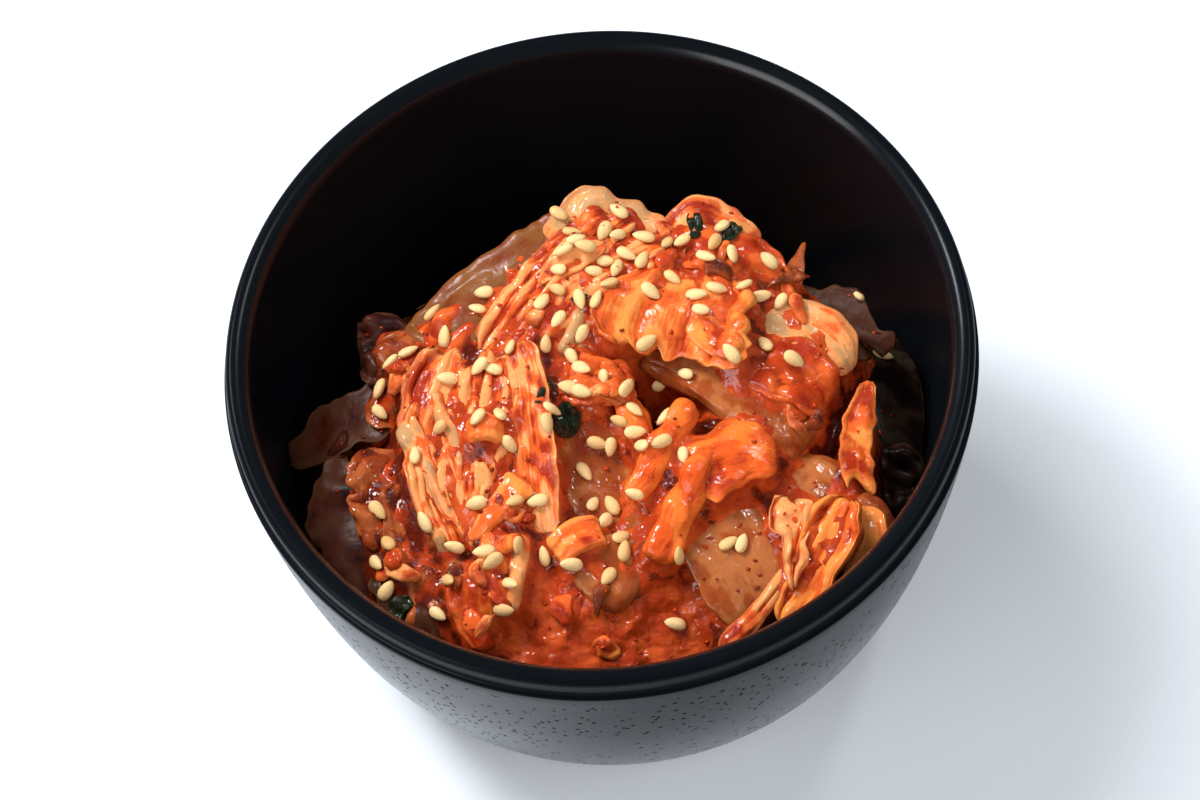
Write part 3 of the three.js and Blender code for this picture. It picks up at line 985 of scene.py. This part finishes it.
class KIMCHI_OT_back_stems(PieceOperator):
    """Adds the pale stems along the back of the heap"""

    bl_idname = "kimchi.back_stems"
    bl_label = "Stems at the back"

    def build(self, scene):
        lay = heap.lay_piece
        lay("tan_stem", "dim_stem", [(-1, 23, 60.5), (-9, 19, 58.5), (-20, 14, 55), (-29, 9, 50.5)],
            [7, 7.5, 7.5, 6.5], thick=2.2, roll=6, bow=50, folds=(0.1, 9), ragged=0.03, stain_and_shade=(0.3, 0.3),
            seed=121)
        lay("crown_stem", "cream_stem", [(-6, 22.5, 60.5), (0, 25.6, 62.6), (7, 24.6, 62.4), (14, 21, 60.8)],
            [2.4, 3.6, 3.2, 2.2], thick=1.2, roll=-12, bow=60, folds=(0.4, 5), ragged=0.16,
            stain_and_shade=(0.1, 0.15), tuck=0.3, seed=123)
        lay("back_right_leaf", "leaf", [(12, 21, 60.5), (18, 23.5, 61.8), (23, 21, 60.5), (27, 17, 58)],
            [2.5, 3.2, 3.6, 3], thick=0.8, roll=-6, bow=70, folds=(0.5, 6), ragged=0.1, stain_and_shade=(0.7, 0.4),
            seed=125)
        lay("back_right_fold", "red_leaf", [(13, 17, 61.5), (20, 17, 61.5), (26, 13, 60), (31, 7, 57)],
            [4, 5, 5, 4], thick=0.8, bow=60, folds=(0.6, 5), ragged=0.08, stain_and_shade=(0.35, 0.3), tuck=0.8,
            seed=127)


class KIMCHI_OT_front_stems(PieceOperator):
    """Adds the smooth, clear stems in the hollow and along the front"""

    bl_idname = "kimchi.front_stems"
    bl_label = "Stems in front"

    def build(self, scene):
        lay = heap.lay_piece
        lay("hollow_stem", "tan_stem", [(-8, -9, 51), (-5, -17, 50.5), (-1, -24, 50), (2, -31, 49)],
            [7, 8, 8, 6], thick=2.2, roll=4, bow=-20, folds=(0.08, 9), ragged=0.03, stain_and_shade=(0.5, 0.15),
            seed=131)
        lay("clear_stem", "tan_stem", [(13, -26, 53), (16, -32, 52.8), (18, -38, 51.8), (20, -44, 50)],
            [6.8, 7.6, 7.6, 5.5], thick=1.8, bow=15, folds=(0.1, 8), ragged=0.03, corner=0.9,
            stain_and_shade=(0.12, 0.15), seed=133)
        lay("rear_clear_stem", "tan_stem", [(24, -22, 53), (32, -25, 53), (38, -29, 51)], [4.5, 5.5, 4.5],
            thick=1.6, bow=20, folds=(0.1, 8), ragged=0.03, stain_and_shade=(0.25, 0.15), seed=135)
        lay("sauce_stem", "tan_stem", [(-7, -31, 50.5), (-3, -34, 50), (1, -38, 48.5)], [5, 6, 5], thick=1.6,
            bow=20, folds=(0.15, 6), ragged=0.04, stain_and_shade=(0.45, 0.2), seed=137)
        lay("round_stem", "tan_stem", [(8, 3, 55), (16, -4, 56), (23, -11, 56), (31, -18, 54.5)],
            [3.6, 4.4, 4.5, 4.0], thick=5.4, square=2.2, bow=50, folds=(0.2, 7), ragged=0.03, corner=1.2,
            stain_and_shade=(0.42, 0.25), seed=139)
        lay("edge_stem", "leaf", [(27, -36, 53), (21, -42, 51.5), (13, -49, 50)], [1.2, 1.7, 2.2], thick=1.4,
            square=2.2, bow=60, strands=0.15, folds=(0.2, 5), stain_and_shade=(0.5, 0.25), tuck=0.7, sink=-0.1,
            seed=141)
        skin = {"thick": 0.45, "bow": 20, "corner": 0.3, "stain_and_shade": (0.0, 0.1), "cling": 1.0, "tuck": 0.0,
                "folds": (0.05, 5)}
        lay("clear_stem_edge", "cream_stem", [(13.1, -27.4, 54), (9.4, -32.3, 53), (5.7, -36.4, 51)],
            [0.3, 0.4, 0.3], seed=151, **skin)
        lay("clear_stem_fold", "cream_stem", [(16.9, -27.8, 54), (19.5, -26.8, 54), (22.3, -26.9, 54)],
            [0.3, 0.4, 0.3], seed=152, **skin)
        lay("stem_end", "cream_stem", [(26, 5, 57.5), (31.5, 3, 58.3), (36.5, -0.5, 57.8), (40, -5.5, 55.5)],
            [3.4, 4.8, 4.8, 3.4], thick=1.2, square=2.6, bow=70, strands=0.06, folds=(0.5, 6), ragged=0.05,
            corner=4, stain_and_shade=(0.42, 0.15), tuck=0.8, seed=143)
        lay("red_stem", "red_leaf", [(20, -3, 57), (28, -6, 58.5), (36, -11, 56.5)], [4.5, 6, 5], thick=2.6,
            square=2.6, bow=80, folds=(0.5, 4.5), ragged=0.06, stain_and_shade=(0.5, 0.25), seed=145)


class KIMCHI_OT_leaves(PieceOperator):
    """Adds the stained cabbage leaves over the heap"""

    bl_idname = "kimchi.leaves"
    bl_label = "Cabbage leaves"

    def build(self, scene):
        lay = heap.lay_piece
        lay("side_leaf", "red_leaf", [(-20, 13, 56), (-27, 9, 54.5), (-32, 2, 52.5)], [3.5, 4.5, 4], bow=50,
            folds=(0.5, 5), stain_and_shade=(0.4, 0.3), tuck=0.8, seed=147)
        lay("crown_bed", "orange_leaf", [(11, 21, 62), (3, 18, 62.5), (-5, 12, 61), (-12, 5, 59)],
            [5.5, 7, 7, 6], bow=40, strands=0.06, folds=(0.4, 6), stain_and_shade=(0.75, 0.25), cling=0.3, tuck=0.8,
            seed=149)
        lay("crown_leaf", "leaf", [(7, 25, 62.2), (-3, 19, 61.4), (-11.5, 11.5, 59.8), (-19.5, 3.5, 57)],
            [4.5, 5.6, 5.2, 4], bow=50, ribs=(3, 0.6), strands=0.16, folds=(0.3, 7), ragged=0.05, torn=0.1,
            stain_and_shade=(0.55, 0.25), cling=0.2, tuck=0.8, seed=151)
        lay("ribbed_leaf", "leaf",
            [(-20.5, 6, 59.5), (-23, -3.5, 58.4), (-25, -11, 56.6), (-26, -19, 55), (-25, -27, 53)],
            [9.5, 10.5, 9.5, 7, 3.8], thick=0.9, bow=50, ribs=(5, 0.35), strands=0.28, folds=(0.35, 8),
            ragged=0.03, torn=0.08, stain_and_shade=(0.40, 0.30), cling=0.2, tuck=0.9, seed=153)
        shard = {"thick": 0.7, "bow": 40, "strands": 0.25, "folds": (0.2, 5), "stain_and_shade": (0.42, 0.3),
                 "cling": 0.7, "corner": 0.8, "torn": 0.15, "ragged": 0.12}
        lay("shard_left", "cream_stem",
            [(-33.6, -1, 56.5), (-31.6, -9, 56.5), (-28.9, -17, 55.8), (-26.2, -24, 54.5)],
            [1.6, 2.2, 1.6, 0.7], seed=154, **shard)
        lay("shard_low", "cream_stem", [(-31.2, -18, 54.5), (-29.8, -24, 54), (-28, -29, 52.5)],
            [0.8, 1.3, 0.5], seed=156, **shard)
        lay("shard_middle", "cream_stem", [(-27.6, -1, 58), (-26, -9, 57.5), (-24.7, -18, 56)],
            [0.9, 1.5, 0.5], seed=158, **shard)
        lay("shard_right", "leaf", [(-21.4, -14, 58), (-21, -20, 57), (-20.4, -26, 55)], [0.9, 1.6, 0.6],
            seed=166, **shard)
        lay("curled_edge", "leaf",
            [(-12.5, 5, 60.5), (-12, -3, 60), (-12, -11, 58.5), (-12, -19, 56.5), (-12, -27, 54)],
            [2.6, 3.4, 3.6, 3.6, 2.6], thick=0.8, roll=-14, bow=70, curl=(0, -50), strands=0.08,
            folds=(0.25, 7), ragged=0.05, stain_and_shade=(0.5, 0.3), seed=155)
        lay("cross_leaf", "leaf", [(-9, 6, 59.5), (-2, 12, 61.5), (7, 15.6, 62.2), (16, 19, 61.4)],
            [4, 5, 5.5, 4.5], bow=50, strands=0.1, folds=(0.8, 6), ragged=0.07, torn=0.1, stain_and_shade=(0.35, 0.3),
            cling=0.2, tuck=0.8, seed=157)
        lay("clear_fold", "cream_stem", [(-6, 2.6, 59), (1, 8, 61.5), (9, 12.2, 62.4)], [2.4, 3.4, 2.2],
            thick=1.0, square=2.6, bow=60, strands=0.18, folds=(0.5, 4), stain_and_shade=(0.02, 0.2), cling=0.3,
            tuck=0.5, torn=0.2, ragged=0.14, seed=160)
        lay("crown_fold", "leaf", [(-8, 14, 61), (-2, 17.5, 62.5), (4, 20, 63)], [1.6, 2.6, 1.6], thick=0.9,
            bow=70, strands=0.12, folds=(0.5, 4), ragged=0.14, torn=0.2, stain_and_shade=(0.15, 0.25), cling=0.3,
            tuck=0.5, seed=168)
        lay("drooping_leaf", "orange_leaf",
            [(17, 14, 61.2), (14.5, 8, 62.3), (12, 2.5, 62.2), (10, -2, 60.6)], [8.5, 11.5, 13.5, 13.5],
            thick=0.6, bow=45, ribs=(4, 0.7), folds=(0.3, 11), ragged=0.05, torn=0.16, stain_and_shade=(0.42, 0.12),
            tuck=1.2, free=1.0, rest=2.0, seed=159)
        lay("yellow_lobe", "orange_leaf", [(14.5, 2.5, 63), (18.5, -1.2, 62), (22.5, -4.5, 59.5)],
            [2.2, 3.0, 2.4], thick=1.0, bow=80, folds=(0.25, 6), ragged=0.08, stain_and_shade=(0.3, 0.15), tuck=0.6,
            seed=162)
        lay("red_chunk", "red_leaf", [(-7, -2, 57), (-1, -4, 58.5), (5, -4, 57)], [4.2, 5.0, 4], thick=3,
            square=2.6, bow=90, folds=(0.6, 3.5), ragged=0.06, stain_and_shade=(0.35, 0.3), seed=161)
        lay("front_right_leaf", "orange_leaf",
            [(36, -29, 57), (32, -35, 55.5), (28, -41, 52.5), (23, -46, 50)], [4.5, 5.5, 5, 2.5], thick=0.7,
            roll=-10, bow=110, curl=(20, 20), ribs=(3, 1.2), strands=0.12, folds=(0.2, 6), ragged=0.06,
            stain_and_shade=(0.35, 0.25), seed=163)
        lay("frilled_leaf", "leaf", [(27, -27, 56.5), (27, -33, 56), (26, -38, 54.5), (25.5, -42.5, 53)],
            [3.6, 3.2, 2.0, 0.8], bow=60, ribs=(2, 0.8), strands=0.12, folds=(0.5, 3.5), ragged=0.18,
            torn=0.15, stain_and_shade=(0.15, 0.2), tuck=0.1, seed=165)
        lay("rim_leaf", "orange_leaf", [(38.5, -30, 56), (38, -36, 54.5), (34, -42, 52)], [2.4, 3.2, 2.6],
            thick=0.8, roll=10, bow=100, ribs=(1, 0.4), folds=(0.15, 5), stain_and_shade=(0.1, 0.15), seed=167)
        lay("block_leaf", "orange_leaf", [(-11, -31, 53.5), (-7, -29, 54.5), (-3, -28, 54)], [2.8, 3.2, 2.8],
            thick=1.6, bow=50, strands=0.1, folds=(0.15, 4), corner=0.9, stain_and_shade=(0.35, 0.25), seed=169)


class KIMCHI_OT_radish(PieceOperator):
    """Adds the radish sticks, the thin strips and the pitted knob"""

    bl_idname = "kimchi.radish"
    bl_label = "Radish sticks"

    def build(self, scene):
        lay = heap.lay_piece
        stick = {"bow": 30, "ragged": 0.10, "folds": (0.3, 5), "corner": 1.8, "sink": -0.15}
        lay("radish_stick_back", "radish", [(2, -4, 57), (4, -11, 57.5), (6, -18, 56.5)], [1.9, 2.1, 1.9],
            thick=3, square=3, stain_and_shade=(0.6, 0.15), seed=173, **stick)
        lay("radish_stick_long", "radish", [(13, -9, 58.5), (8, -16, 58.5), (2, -24, 56)], [2.2, 2.5, 2.1],
            thick=3, square=3, stain_and_shade=(0.3, 0.15), seed=175, **stick)
        lay("radish_slab", "radish", [(9.5, -22.5, 57), (14, -21, 58.4), (20, -20.4, 58.8), (26, -21, 58.4)],
            [4.6, 6.0, 5.6, 3.6], thick=2.2, square=3, stain_and_shade=(0.42, 0.18), seed=171, **{**stick, "bow": 6})
        lay("radish_finger", "radish", [(15, -18, 57.5), (10, -26, 57.5), (4, -34.5, 55.5)], [2.5, 2.9, 2.8],
            thick=3.6, square=2.6, stain_and_shade=(0.4, 0.18), seed=177, **stick)
        lay("upright_strip", "orange_leaf",
            [(42.6, -9, 58), (39.5, -15, 57), (38, -21, 55.5), (38, -28, 53.5)], [1.7, 2.7, 2.9, 2.6],
            thick=1.0, roll=10, bow=50, torn=0.25, ragged=0.14, folds=(0.35, 5), corner=0.6,
            stain_and_shade=(0.6, 0.25), tuck=0.3, seed=179)
        lay("upright_strip_end", "soaked_leaf", [(38, -27, 53.5), (41, -31, 52), (43, -35, 50.5)],
            [1.8, 1.8, 1.4], thick=1.2, square=3, stain_and_shade=(0.2, 0.2), seed=181, **stick)
        lay("front_wedge", "orange_leaf", [(-15, -18, 57), (-19, -22, 56), (-24.5, -26.5, 54)],
            [3.2, 2.4, 0.6], thick=1.2, square=3, stain_and_shade=(0.4, 0.2), seed=183, **stick)
        lay("front_strip_left", "orange_leaf", [(-20.6, -25, 54.5), (-21.7, -32, 53.5), (-22, -39, 51)],
            [2.0, 2.4, 2.4], thick=2.0, square=3, stain_and_shade=(0.5, 0.2), seed=185, **stick)
        lay("front_strip_right", "cream_stem", [(-16, -26.5, 54.5), (-17.5, -33, 53.5), (-19, -38.5, 51.5)],
            [1.3, 1.4, 1.2], thick=1.4, square=2.4, stain_and_shade=(0.35, 0.25), seed=187, **stick)
        lay("pitted_knob", "orange_leaf", [(-22.6, -10, 58.5), (-19.8, -10.4, 60), (-17, -11.2, 58.5)],
            [2.2, 2.7, 2.2], thick=1.7, square=2.2, stain_and_shade=(0.5, 0.1), seed=189,
            **{**stick, "bow": 60, "tuck": 0.6})


class KIMCHI_OT_scraps(PieceOperator):
    """Adds small torn scraps of leaf, half sunk in the sauce"""

    bl_idname = "kimchi.scraps"
    bl_label = "Torn scraps"

    PATCHES = [
        (-8, -40, 10, 3), (-25, -33, 8, 5), (-16, -22, 5, 2), (-33, 8, 5, 3), (-34, -27, 6, 4),
        (30, 10, 5, 3), (20, 16, 6, 3), (3, -6, 4, 3), (33, -14, 4, 2),
    ]
    FINISHES = ("red_leaf", "orange_leaf", "soaked_leaf", "leaf")

    def build(self, scene):
        rng = np.random.default_rng(31)
        middles = [(x + r * rng.normal(0, 0.5), y + r * rng.normal(0, 0.5))
                   for x, y, r, count in self.PATCHES for _ in range(count)]
        for number, (x, y) in enumerate(middles):
            turn, half = rng.uniform(0, np.pi), rng.uniform(1.8, 3.6)
            ahead = half * np.array([math.cos(turn), math.sin(turn), 0])
            z = heap.ground.read(heap.ground.z, np.array([x]), np.array([y]))[0]
            bend = [rng.normal(0, 0.8), rng.normal(0, 0.8), 1.2]
            spine = [[x, y, z] - ahead, np.add([x, y, z], bend), [x, y, z] + ahead]
            wide = rng.uniform(0.8, 1.7)
            heap.lay_piece(f"scrap_{number}", self.FINISHES[number % len(self.FINISHES)], spine,
                [0.6 * wide, wide, 0.5 * wide], thick=1.2, bow=30, folds=(0.25, 2.5), ragged=0.25, torn=0.2,
                corner=0.8, stain_and_shade=(0.75, 0.3), cling=0.2, tuck=0.5, sink=-0.35, seed=301 + 3 * number)


class KIMCHI_OT_sauce(PieceOperator):
    """Fills the gaps between the pieces with thick red sauce"""

    bl_idname = "kimchi.sauce"
    bl_label = "Sauce"

    def build(self, scene):
        def open_gaps(x, y):
            """Depth that the sauce stays down in the open hollow and by the wall at each side."""
            hollow = spot(x, y, (9, -4), (9, 7))
            stems = 0.2 * spot(x, y, (-3, -18), (7, 9)) + 0.2 * spot(x, y, (17, -35), (8, 7))
            sides = smooth_step(40, 48, np.abs(x)) * smooth_step(-34, -14, y)
            behind = smooth_step(20, 30, y)
            return 8 * np.maximum.reduce([hollow, stems, sides, behind])

        heap.lay_film("sauce_film", "sauce", 2.0, 0.45, open_gaps, 191)


class KIMCHI_OT_green_bits(PieceOperator):
    """Adds the few dark green leaf ends"""

    bl_idname = "kimchi.green_bits"
    bl_label = "Green leaf ends"

    PLACES = [
        (-9.3, -5.1, 57, 70, 2.6), (-7.1, -9, 53, 40, 3.2), (18.4, 21.1, 63, 80, 2.4),
        (24.3, 19.9, 62, 20, 3.0), (-37.7, -34.6, 49, 10, 3.6), (-2, 10, 63.5, -30, 1.6),
    ]

    def build(self, scene):
        for number, (x, y, z, turn, size) in enumerate(self.PLACES):
            ahead = size * np.array([math.cos(math.radians(turn)), math.sin(math.radians(turn)), 0])
            middle = np.array([x, y, z])
            heap.lay_piece(f"green_bit_{number}", "green_leaf",
                [middle - ahead, middle + [0, 0, 0.4], middle + ahead],
                [0.4 * size, 0.5 * size, 0.45 * size], thick=0.4, folds=(0.5, 2.0), ragged=0.3, torn=0.3,
                corner=0.4, cling=0.7, tuck=0.1, seed=221 + 2 * number)


class KIMCHI_OT_seeds(PieceOperator):
    """Scatters sesame seeds, thick in a few patches and thin elsewhere"""

    bl_idname = "kimchi.seeds"
    bl_label = "Sesame seeds"

    LENGTH, WIDTH, DEPTH = 3.6, 2.25, 1.4
    ROWS, COLUMNS = 7, 8
    APART = 2.0
    REACH = 50
    LIFT = 0.32
    PATCHES = [
        (3, 21, 9, 18), (9, 15, 9, 11), (-3, 13, 8, 9), (-4, 5, 5, 12), (22, 18, 6, 8), (12, 6, 9, 7),
        (24, 9, 8, 6), (-14, 4, 8, 7), (-1, -4, 6, 8), (-1, -25, 5.0, 12), (-8, -18, 7, 6), (8, -13, 7, 11),
        (-22, -8, 12, 12), (26, -5, 8, 4), (-20, -32, 12, 11), (0, -40, 10, 5), (16, -32, 7, 3),
        (-34, 6, 9, 5), (-37, -25, 13, 5), (46, 6, 5, 2), (-20, 14, 9, 5),
    ]

    def seed_shape(self):
        """A drop: width goes as along^0.62 (1 - along)^0.42, pointed at one end, with a flat section."""
        along = 0.5 - 0.5 * np.cos(np.pi * np.linspace(0.07, 0.93, self.ROWS))
        width = 2.0 * along ** 0.62 * (1 - along) ** 0.42
        angle = np.linspace(0, 2 * np.pi, self.COLUMNS, endpoint=False)
        x = np.broadcast_to((along - 0.5)[:, None] * self.LENGTH, (self.ROWS, self.COLUMNS))
        y = 0.5 * self.WIDTH * width[:, None] * np.cos(angle)
        z = 0.5 * self.DEPTH * width[:, None] * np.sin(angle)
        ring = np.stack([x, y, z], axis=-1).reshape(-1, 3)
        poles = [[-self.LENGTH / 2, 0, 0], [self.LENGTH / 2, 0, 0]]
        return np.concatenate([ring, poles])

    def build(self, scene):
        rng = np.random.default_rng(7)
        spots = [np.column_stack([rng.normal(x, r * 0.55, n), rng.normal(y, r * 0.55, n)])
                 for x, y, r, n in self.PATCHES]
        spots = np.concatenate(spots)
        spots = self.apart(spots[np.hypot(spots[:, 0], spots[:, 1]) < self.REACH])
        shape = self.seed_shape()
        quads, caps = grid_faces(self.ROWS, self.COLUMNS, wrap=True), pole_caps(self.ROWS, self.COLUMNS)
        points, square_faces, cap_faces, toast, tips = [], [], [], [], []
        tip = np.clip((-shape[:, 0] / self.LENGTH - 0.36) / 0.1, 0, 1)
        for index, (x, y) in enumerate(spots):
            placed = self.placed(shape * rng.uniform(0.85, 1.08), x, y, rng)
            square_faces.append(quads + index * len(shape))
            cap_faces.append(caps + index * len(shape))
            points.append(placed)
            toast.append(np.full(len(shape), rng.beta(0.9, 3)))
            tips.append(tip * (rng.random() < 0.22) * 0.9)
        layers = {"toast": np.concatenate(toast), "tip": np.concatenate(tips)}
        faces = [np.concatenate(square_faces), np.concatenate(cap_faces)]
        material = sesame_finish(tuple(scene.kimchi_colours.sesame))
        make_piece("sesame_seeds", np.concatenate(points), faces, material, layers, replaces=False)

    def apart(self, spots):
        """The spots that lie no nearer than APART to one before them."""
        distance = np.linalg.norm(spots[:, None] - spots[None], axis=-1)
        earlier = np.tri(len(spots), k=-1, dtype=bool)
        return spots[~((distance < self.APART) & earlier).any(axis=1)]

    def placed(self, shape, x, y, rng):
        """A seed turned at random, laid on the slope under it and sunk in a little."""
        field = heap.ground.z
        step = 0.9
        here = heap.ground.read(field, np.array([x, x + step, x - step, x, x]),
                                np.array([y, y, y, y + step, y - step]))
        up = np.array([(here[2] - here[1]) / (2 * step), (here[4] - here[3]) / (2 * step), 1.0])
        up = up + rng.normal(0, 0.16, 3)
        up[:2] = np.clip(up[:2], -1.2, 1.2)
        up /= np.linalg.norm(up)
        turn = rng.uniform(0, 2 * np.pi)
        ahead = np.array([math.cos(turn), math.sin(turn), 0.0])
        ahead -= up * (ahead @ up)
        ahead /= np.linalg.norm(ahead)
        axes = np.stack([ahead, np.cross(up, ahead), up])
        placed = shape @ axes + [x, y, here.mean() * 0.5 + here.max() * 0.5 + self.LIFT]
        heap.ground.lay(placed[:-2].reshape(self.ROWS, self.COLUMNS, 3))
        return placed


class KIMCHI_OT_flakes(PieceOperator):
    """Scatters loose chilli flakes over the heap"""

    bl_idname = "kimchi.flakes"
    bl_label = "Chilli flakes"

    REACH, BACK = 48, 30
    SIDES = 5
    HALF_DEPTH, LIFT = 0.12, 0.08

    def build(self, scene):
        rng = np.random.default_rng(19)
        count = scene.kimchi_amounts.flakes
        reach, angle = self.REACH * np.sqrt(rng.random(count)), rng.uniform(0, 2 * np.pi, count)
        x, y = reach * np.cos(angle), reach * np.sin(angle)
        x, y = x[y < self.BACK], y[y < self.BACK]
        count = len(x)
        z = heap.ground.read(heap.ground.blurred(0.6), x, y)
        around = np.linspace(0, 2 * np.pi, self.SIDES, endpoint=False)
        size = rng.uniform(0.25, 0.6, (count, 1)) * rng.uniform(0.6, 1.2, (count, self.SIDES))
        tilt = rng.normal(0, 0.35, (count, 2))
        ring_x = size * np.cos(around)
        ring_y = size * np.sin(around) * rng.uniform(0.5, 1, (count, 1))
        ring_z = ring_x * tilt[:, :1] + ring_y * tilt[:, 1:]
        ring = np.stack([ring_x, ring_y, ring_z], axis=-1)
        top = np.full((count, 1, 3), (0.0, 0.0, self.HALF_DEPTH))
        places = np.stack([x, y, z + self.LIFT], axis=-1)[:, None]
        shapes = np.concatenate([ring, -top, top], axis=1) + places
        corners = self.SIDES + 2
        faces = (pole_caps(1, self.SIDES)[None] + np.arange(count)[:, None, None] * corners).reshape(-1, 3)
        toast = np.repeat(rng.random(count), corners)
        make_piece("chilli_flakes", shapes.reshape(-1, 3), [faces],
                   flake_finish(tuple(scene.kimchi_colours.red)), {"toast": toast}, replaces=False)


class KIMCHI_OT_stage(PieceOperator):
    """Adds the pale floor, the soft lights and the camera"""

    bl_idname = "kimchi.stage"
    bl_label = "Stage"

    ELEVATION = math.radians(61.6)
    ROLL = math.radians(7.2)
    DISTANCE = 0.450
    LENS = 84.6
    AIM = (-0.00087, -0.0102)
    LIGHTS = {
        "key": dict(place=(-0.42, 0.42, 0.80), size=0.5, power=9.3, reflected=False),
        "glints_left": dict(place=(-0.46, 0.40, 0.66), size=0.16, power=3.0),
        "glints_right": dict(place=(0.36, 0.30, 0.75), size=0.10, power=0.9),
        "fill": dict(place=(0.30, -0.45, 0.70), size=0.60, power=3.6, reflected=False),
        "side": dict(place=(-0.78, -0.48, 0.42), size=0.7, power=5.0, aim=(0, 0, 0.03)),
    }
    FLOOR_HALF = 3.0

    def build(self, scene):
        self.add_floor()
        self.add_world(scene)
        for name, light in self.LIGHTS.items():
            self.add_light(name, **light)
        self.add_camera(scene)
        scene.view_settings.view_transform = "Standard"

    def add_floor(self):
        mesh = bpy.data.meshes.new("floor")
        half = self.FLOOR_HALF
        corners = [(-half, -half, 0), (half, -half, 0), (half, half, 0), (-half, half, 0)]
        mesh.from_pydata(corners, [], [(0, 1, 2, 3)])
        shader = Shader("pale_floor")
        base = shader.mix(shader.noise(60.0, 3.0), (0.80, 0.84, 0.90), (0.84, 0.88, 0.94))
        mesh.materials.append(shader.surface(Base_Color=base, Roughness=0.6))
        floor = bpy.data.objects.new("floor", mesh)
        bpy.context.scene.collection.objects.link(floor)

    def add_world(self, scene):
        world = bpy.data.worlds.new("soft_room")
        world.use_nodes = True
        background = world.node_tree.nodes["Background"]
        background.inputs["Color"].default_value = (0.84, 0.92, 1.0, 1.0)
        background.inputs["Strength"].default_value = 0.11
        scene.world = world

    def add_light(self, name, place, size, power, aim=(0, 0, 0.05), reflected=True):
        light = bpy.data.lights.new(name, "AREA")
        light.size = size
        light.energy = power
        piece = bpy.data.objects.new(name, light)
        piece.location = place
        piece.visible_glossy = reflected
        piece.rotation_euler = (Vector(aim) - Vector(place)).to_track_quat("-Z", "Y").to_euler()
        bpy.context.scene.collection.objects.link(piece)

    def add_camera(self, scene):
        back = Vector((0, -math.cos(self.ELEVATION), math.sin(self.ELEVATION)))
        right = Vector((1, 0, 0))
        up = back.cross(right)
        aim = Vector((0, 0, BOWL_TOP * MM)) + right * self.AIM[0] + up * self.AIM[1]
        turned_right = right * math.cos(self.ROLL) - up * math.sin(self.ROLL)
        turned_up = right * math.sin(self.ROLL) + up * math.cos(self.ROLL)
        camera = bpy.data.cameras.new("camera")
        camera.lens = self.LENS
        camera.sensor_fit = "HORIZONTAL"
        camera.sensor_width = 36.0
        camera.clip_start = 0.01
        piece = bpy.data.objects.new("camera", camera)
        turn = Matrix((turned_right, turned_up, back)).transposed().to_4x4()
        piece.matrix_world = Matrix.Translation(aim + back * self.DISTANCE) @ turn
        scene.collection.objects.link(piece)
        scene.camera = piece


class KIMCHI_PT_panel(bpy.types.Panel):
    """Lists the sizes, the colours and the steps that build the bowl of kimchi"""

    bl_label = "Kimchi Bowl"
    bl_idname = "KIMCHI_PT_panel"
    bl_space_type = "VIEW_3D"
    bl_region_type = "UI"
    bl_category = "Kimchi"

    def draw(self, context):
        for group in (context.scene.kimchi_bowl, context.scene.kimchi_colours, context.scene.kimchi_amounts):
            box = self.layout.box()
            for name in group.__annotations__:
                box.prop(group, name)
        for operator in OPERATORS:
            self.layout.operator(operator.bl_idname)


OPERATORS = (
    KIMCHI_OT_bowl,
    KIMCHI_OT_core,
    KIMCHI_OT_wall_leaves,
    KIMCHI_OT_back_leaves,
    KIMCHI_OT_back_stems,
    KIMCHI_OT_front_stems,
    KIMCHI_OT_leaves,
    KIMCHI_OT_radish,
    KIMCHI_OT_scraps,
    KIMCHI_OT_sauce,
    KIMCHI_OT_green_bits,
    KIMCHI_OT_seeds,
    KIMCHI_OT_flakes,
    KIMCHI_OT_stage,
)
GROUPS = (
    ("kimchi_bowl", KimchiBowlSizes),
    ("kimchi_colours", KimchiColours),
    ("kimchi_amounts", KimchiAmounts),
)


def register():
    for name, group in GROUPS:
        bpy.utils.register_class(group)
        setattr(bpy.types.Scene, name, bpy.props.PointerProperty(type=group))
    for cls in (*OPERATORS, KIMCHI_PT_panel):
        bpy.utils.register_class(cls)


def unregister():
    for cls in reversed((*OPERATORS, KIMCHI_PT_panel)):
        bpy.utils.unregister_class(cls)
    for name, group in reversed(GROUPS):
        delattr(bpy.types.Scene, name)
        bpy.utils.unregister_class(group)


def main():
    """Builds everything in order."""
    register()
    for operator in OPERATORS:
        group, name = operator.bl_idname.split(".")
        getattr(getattr(bpy.ops, group), name)()


if __name__ == "__main__":
    main()
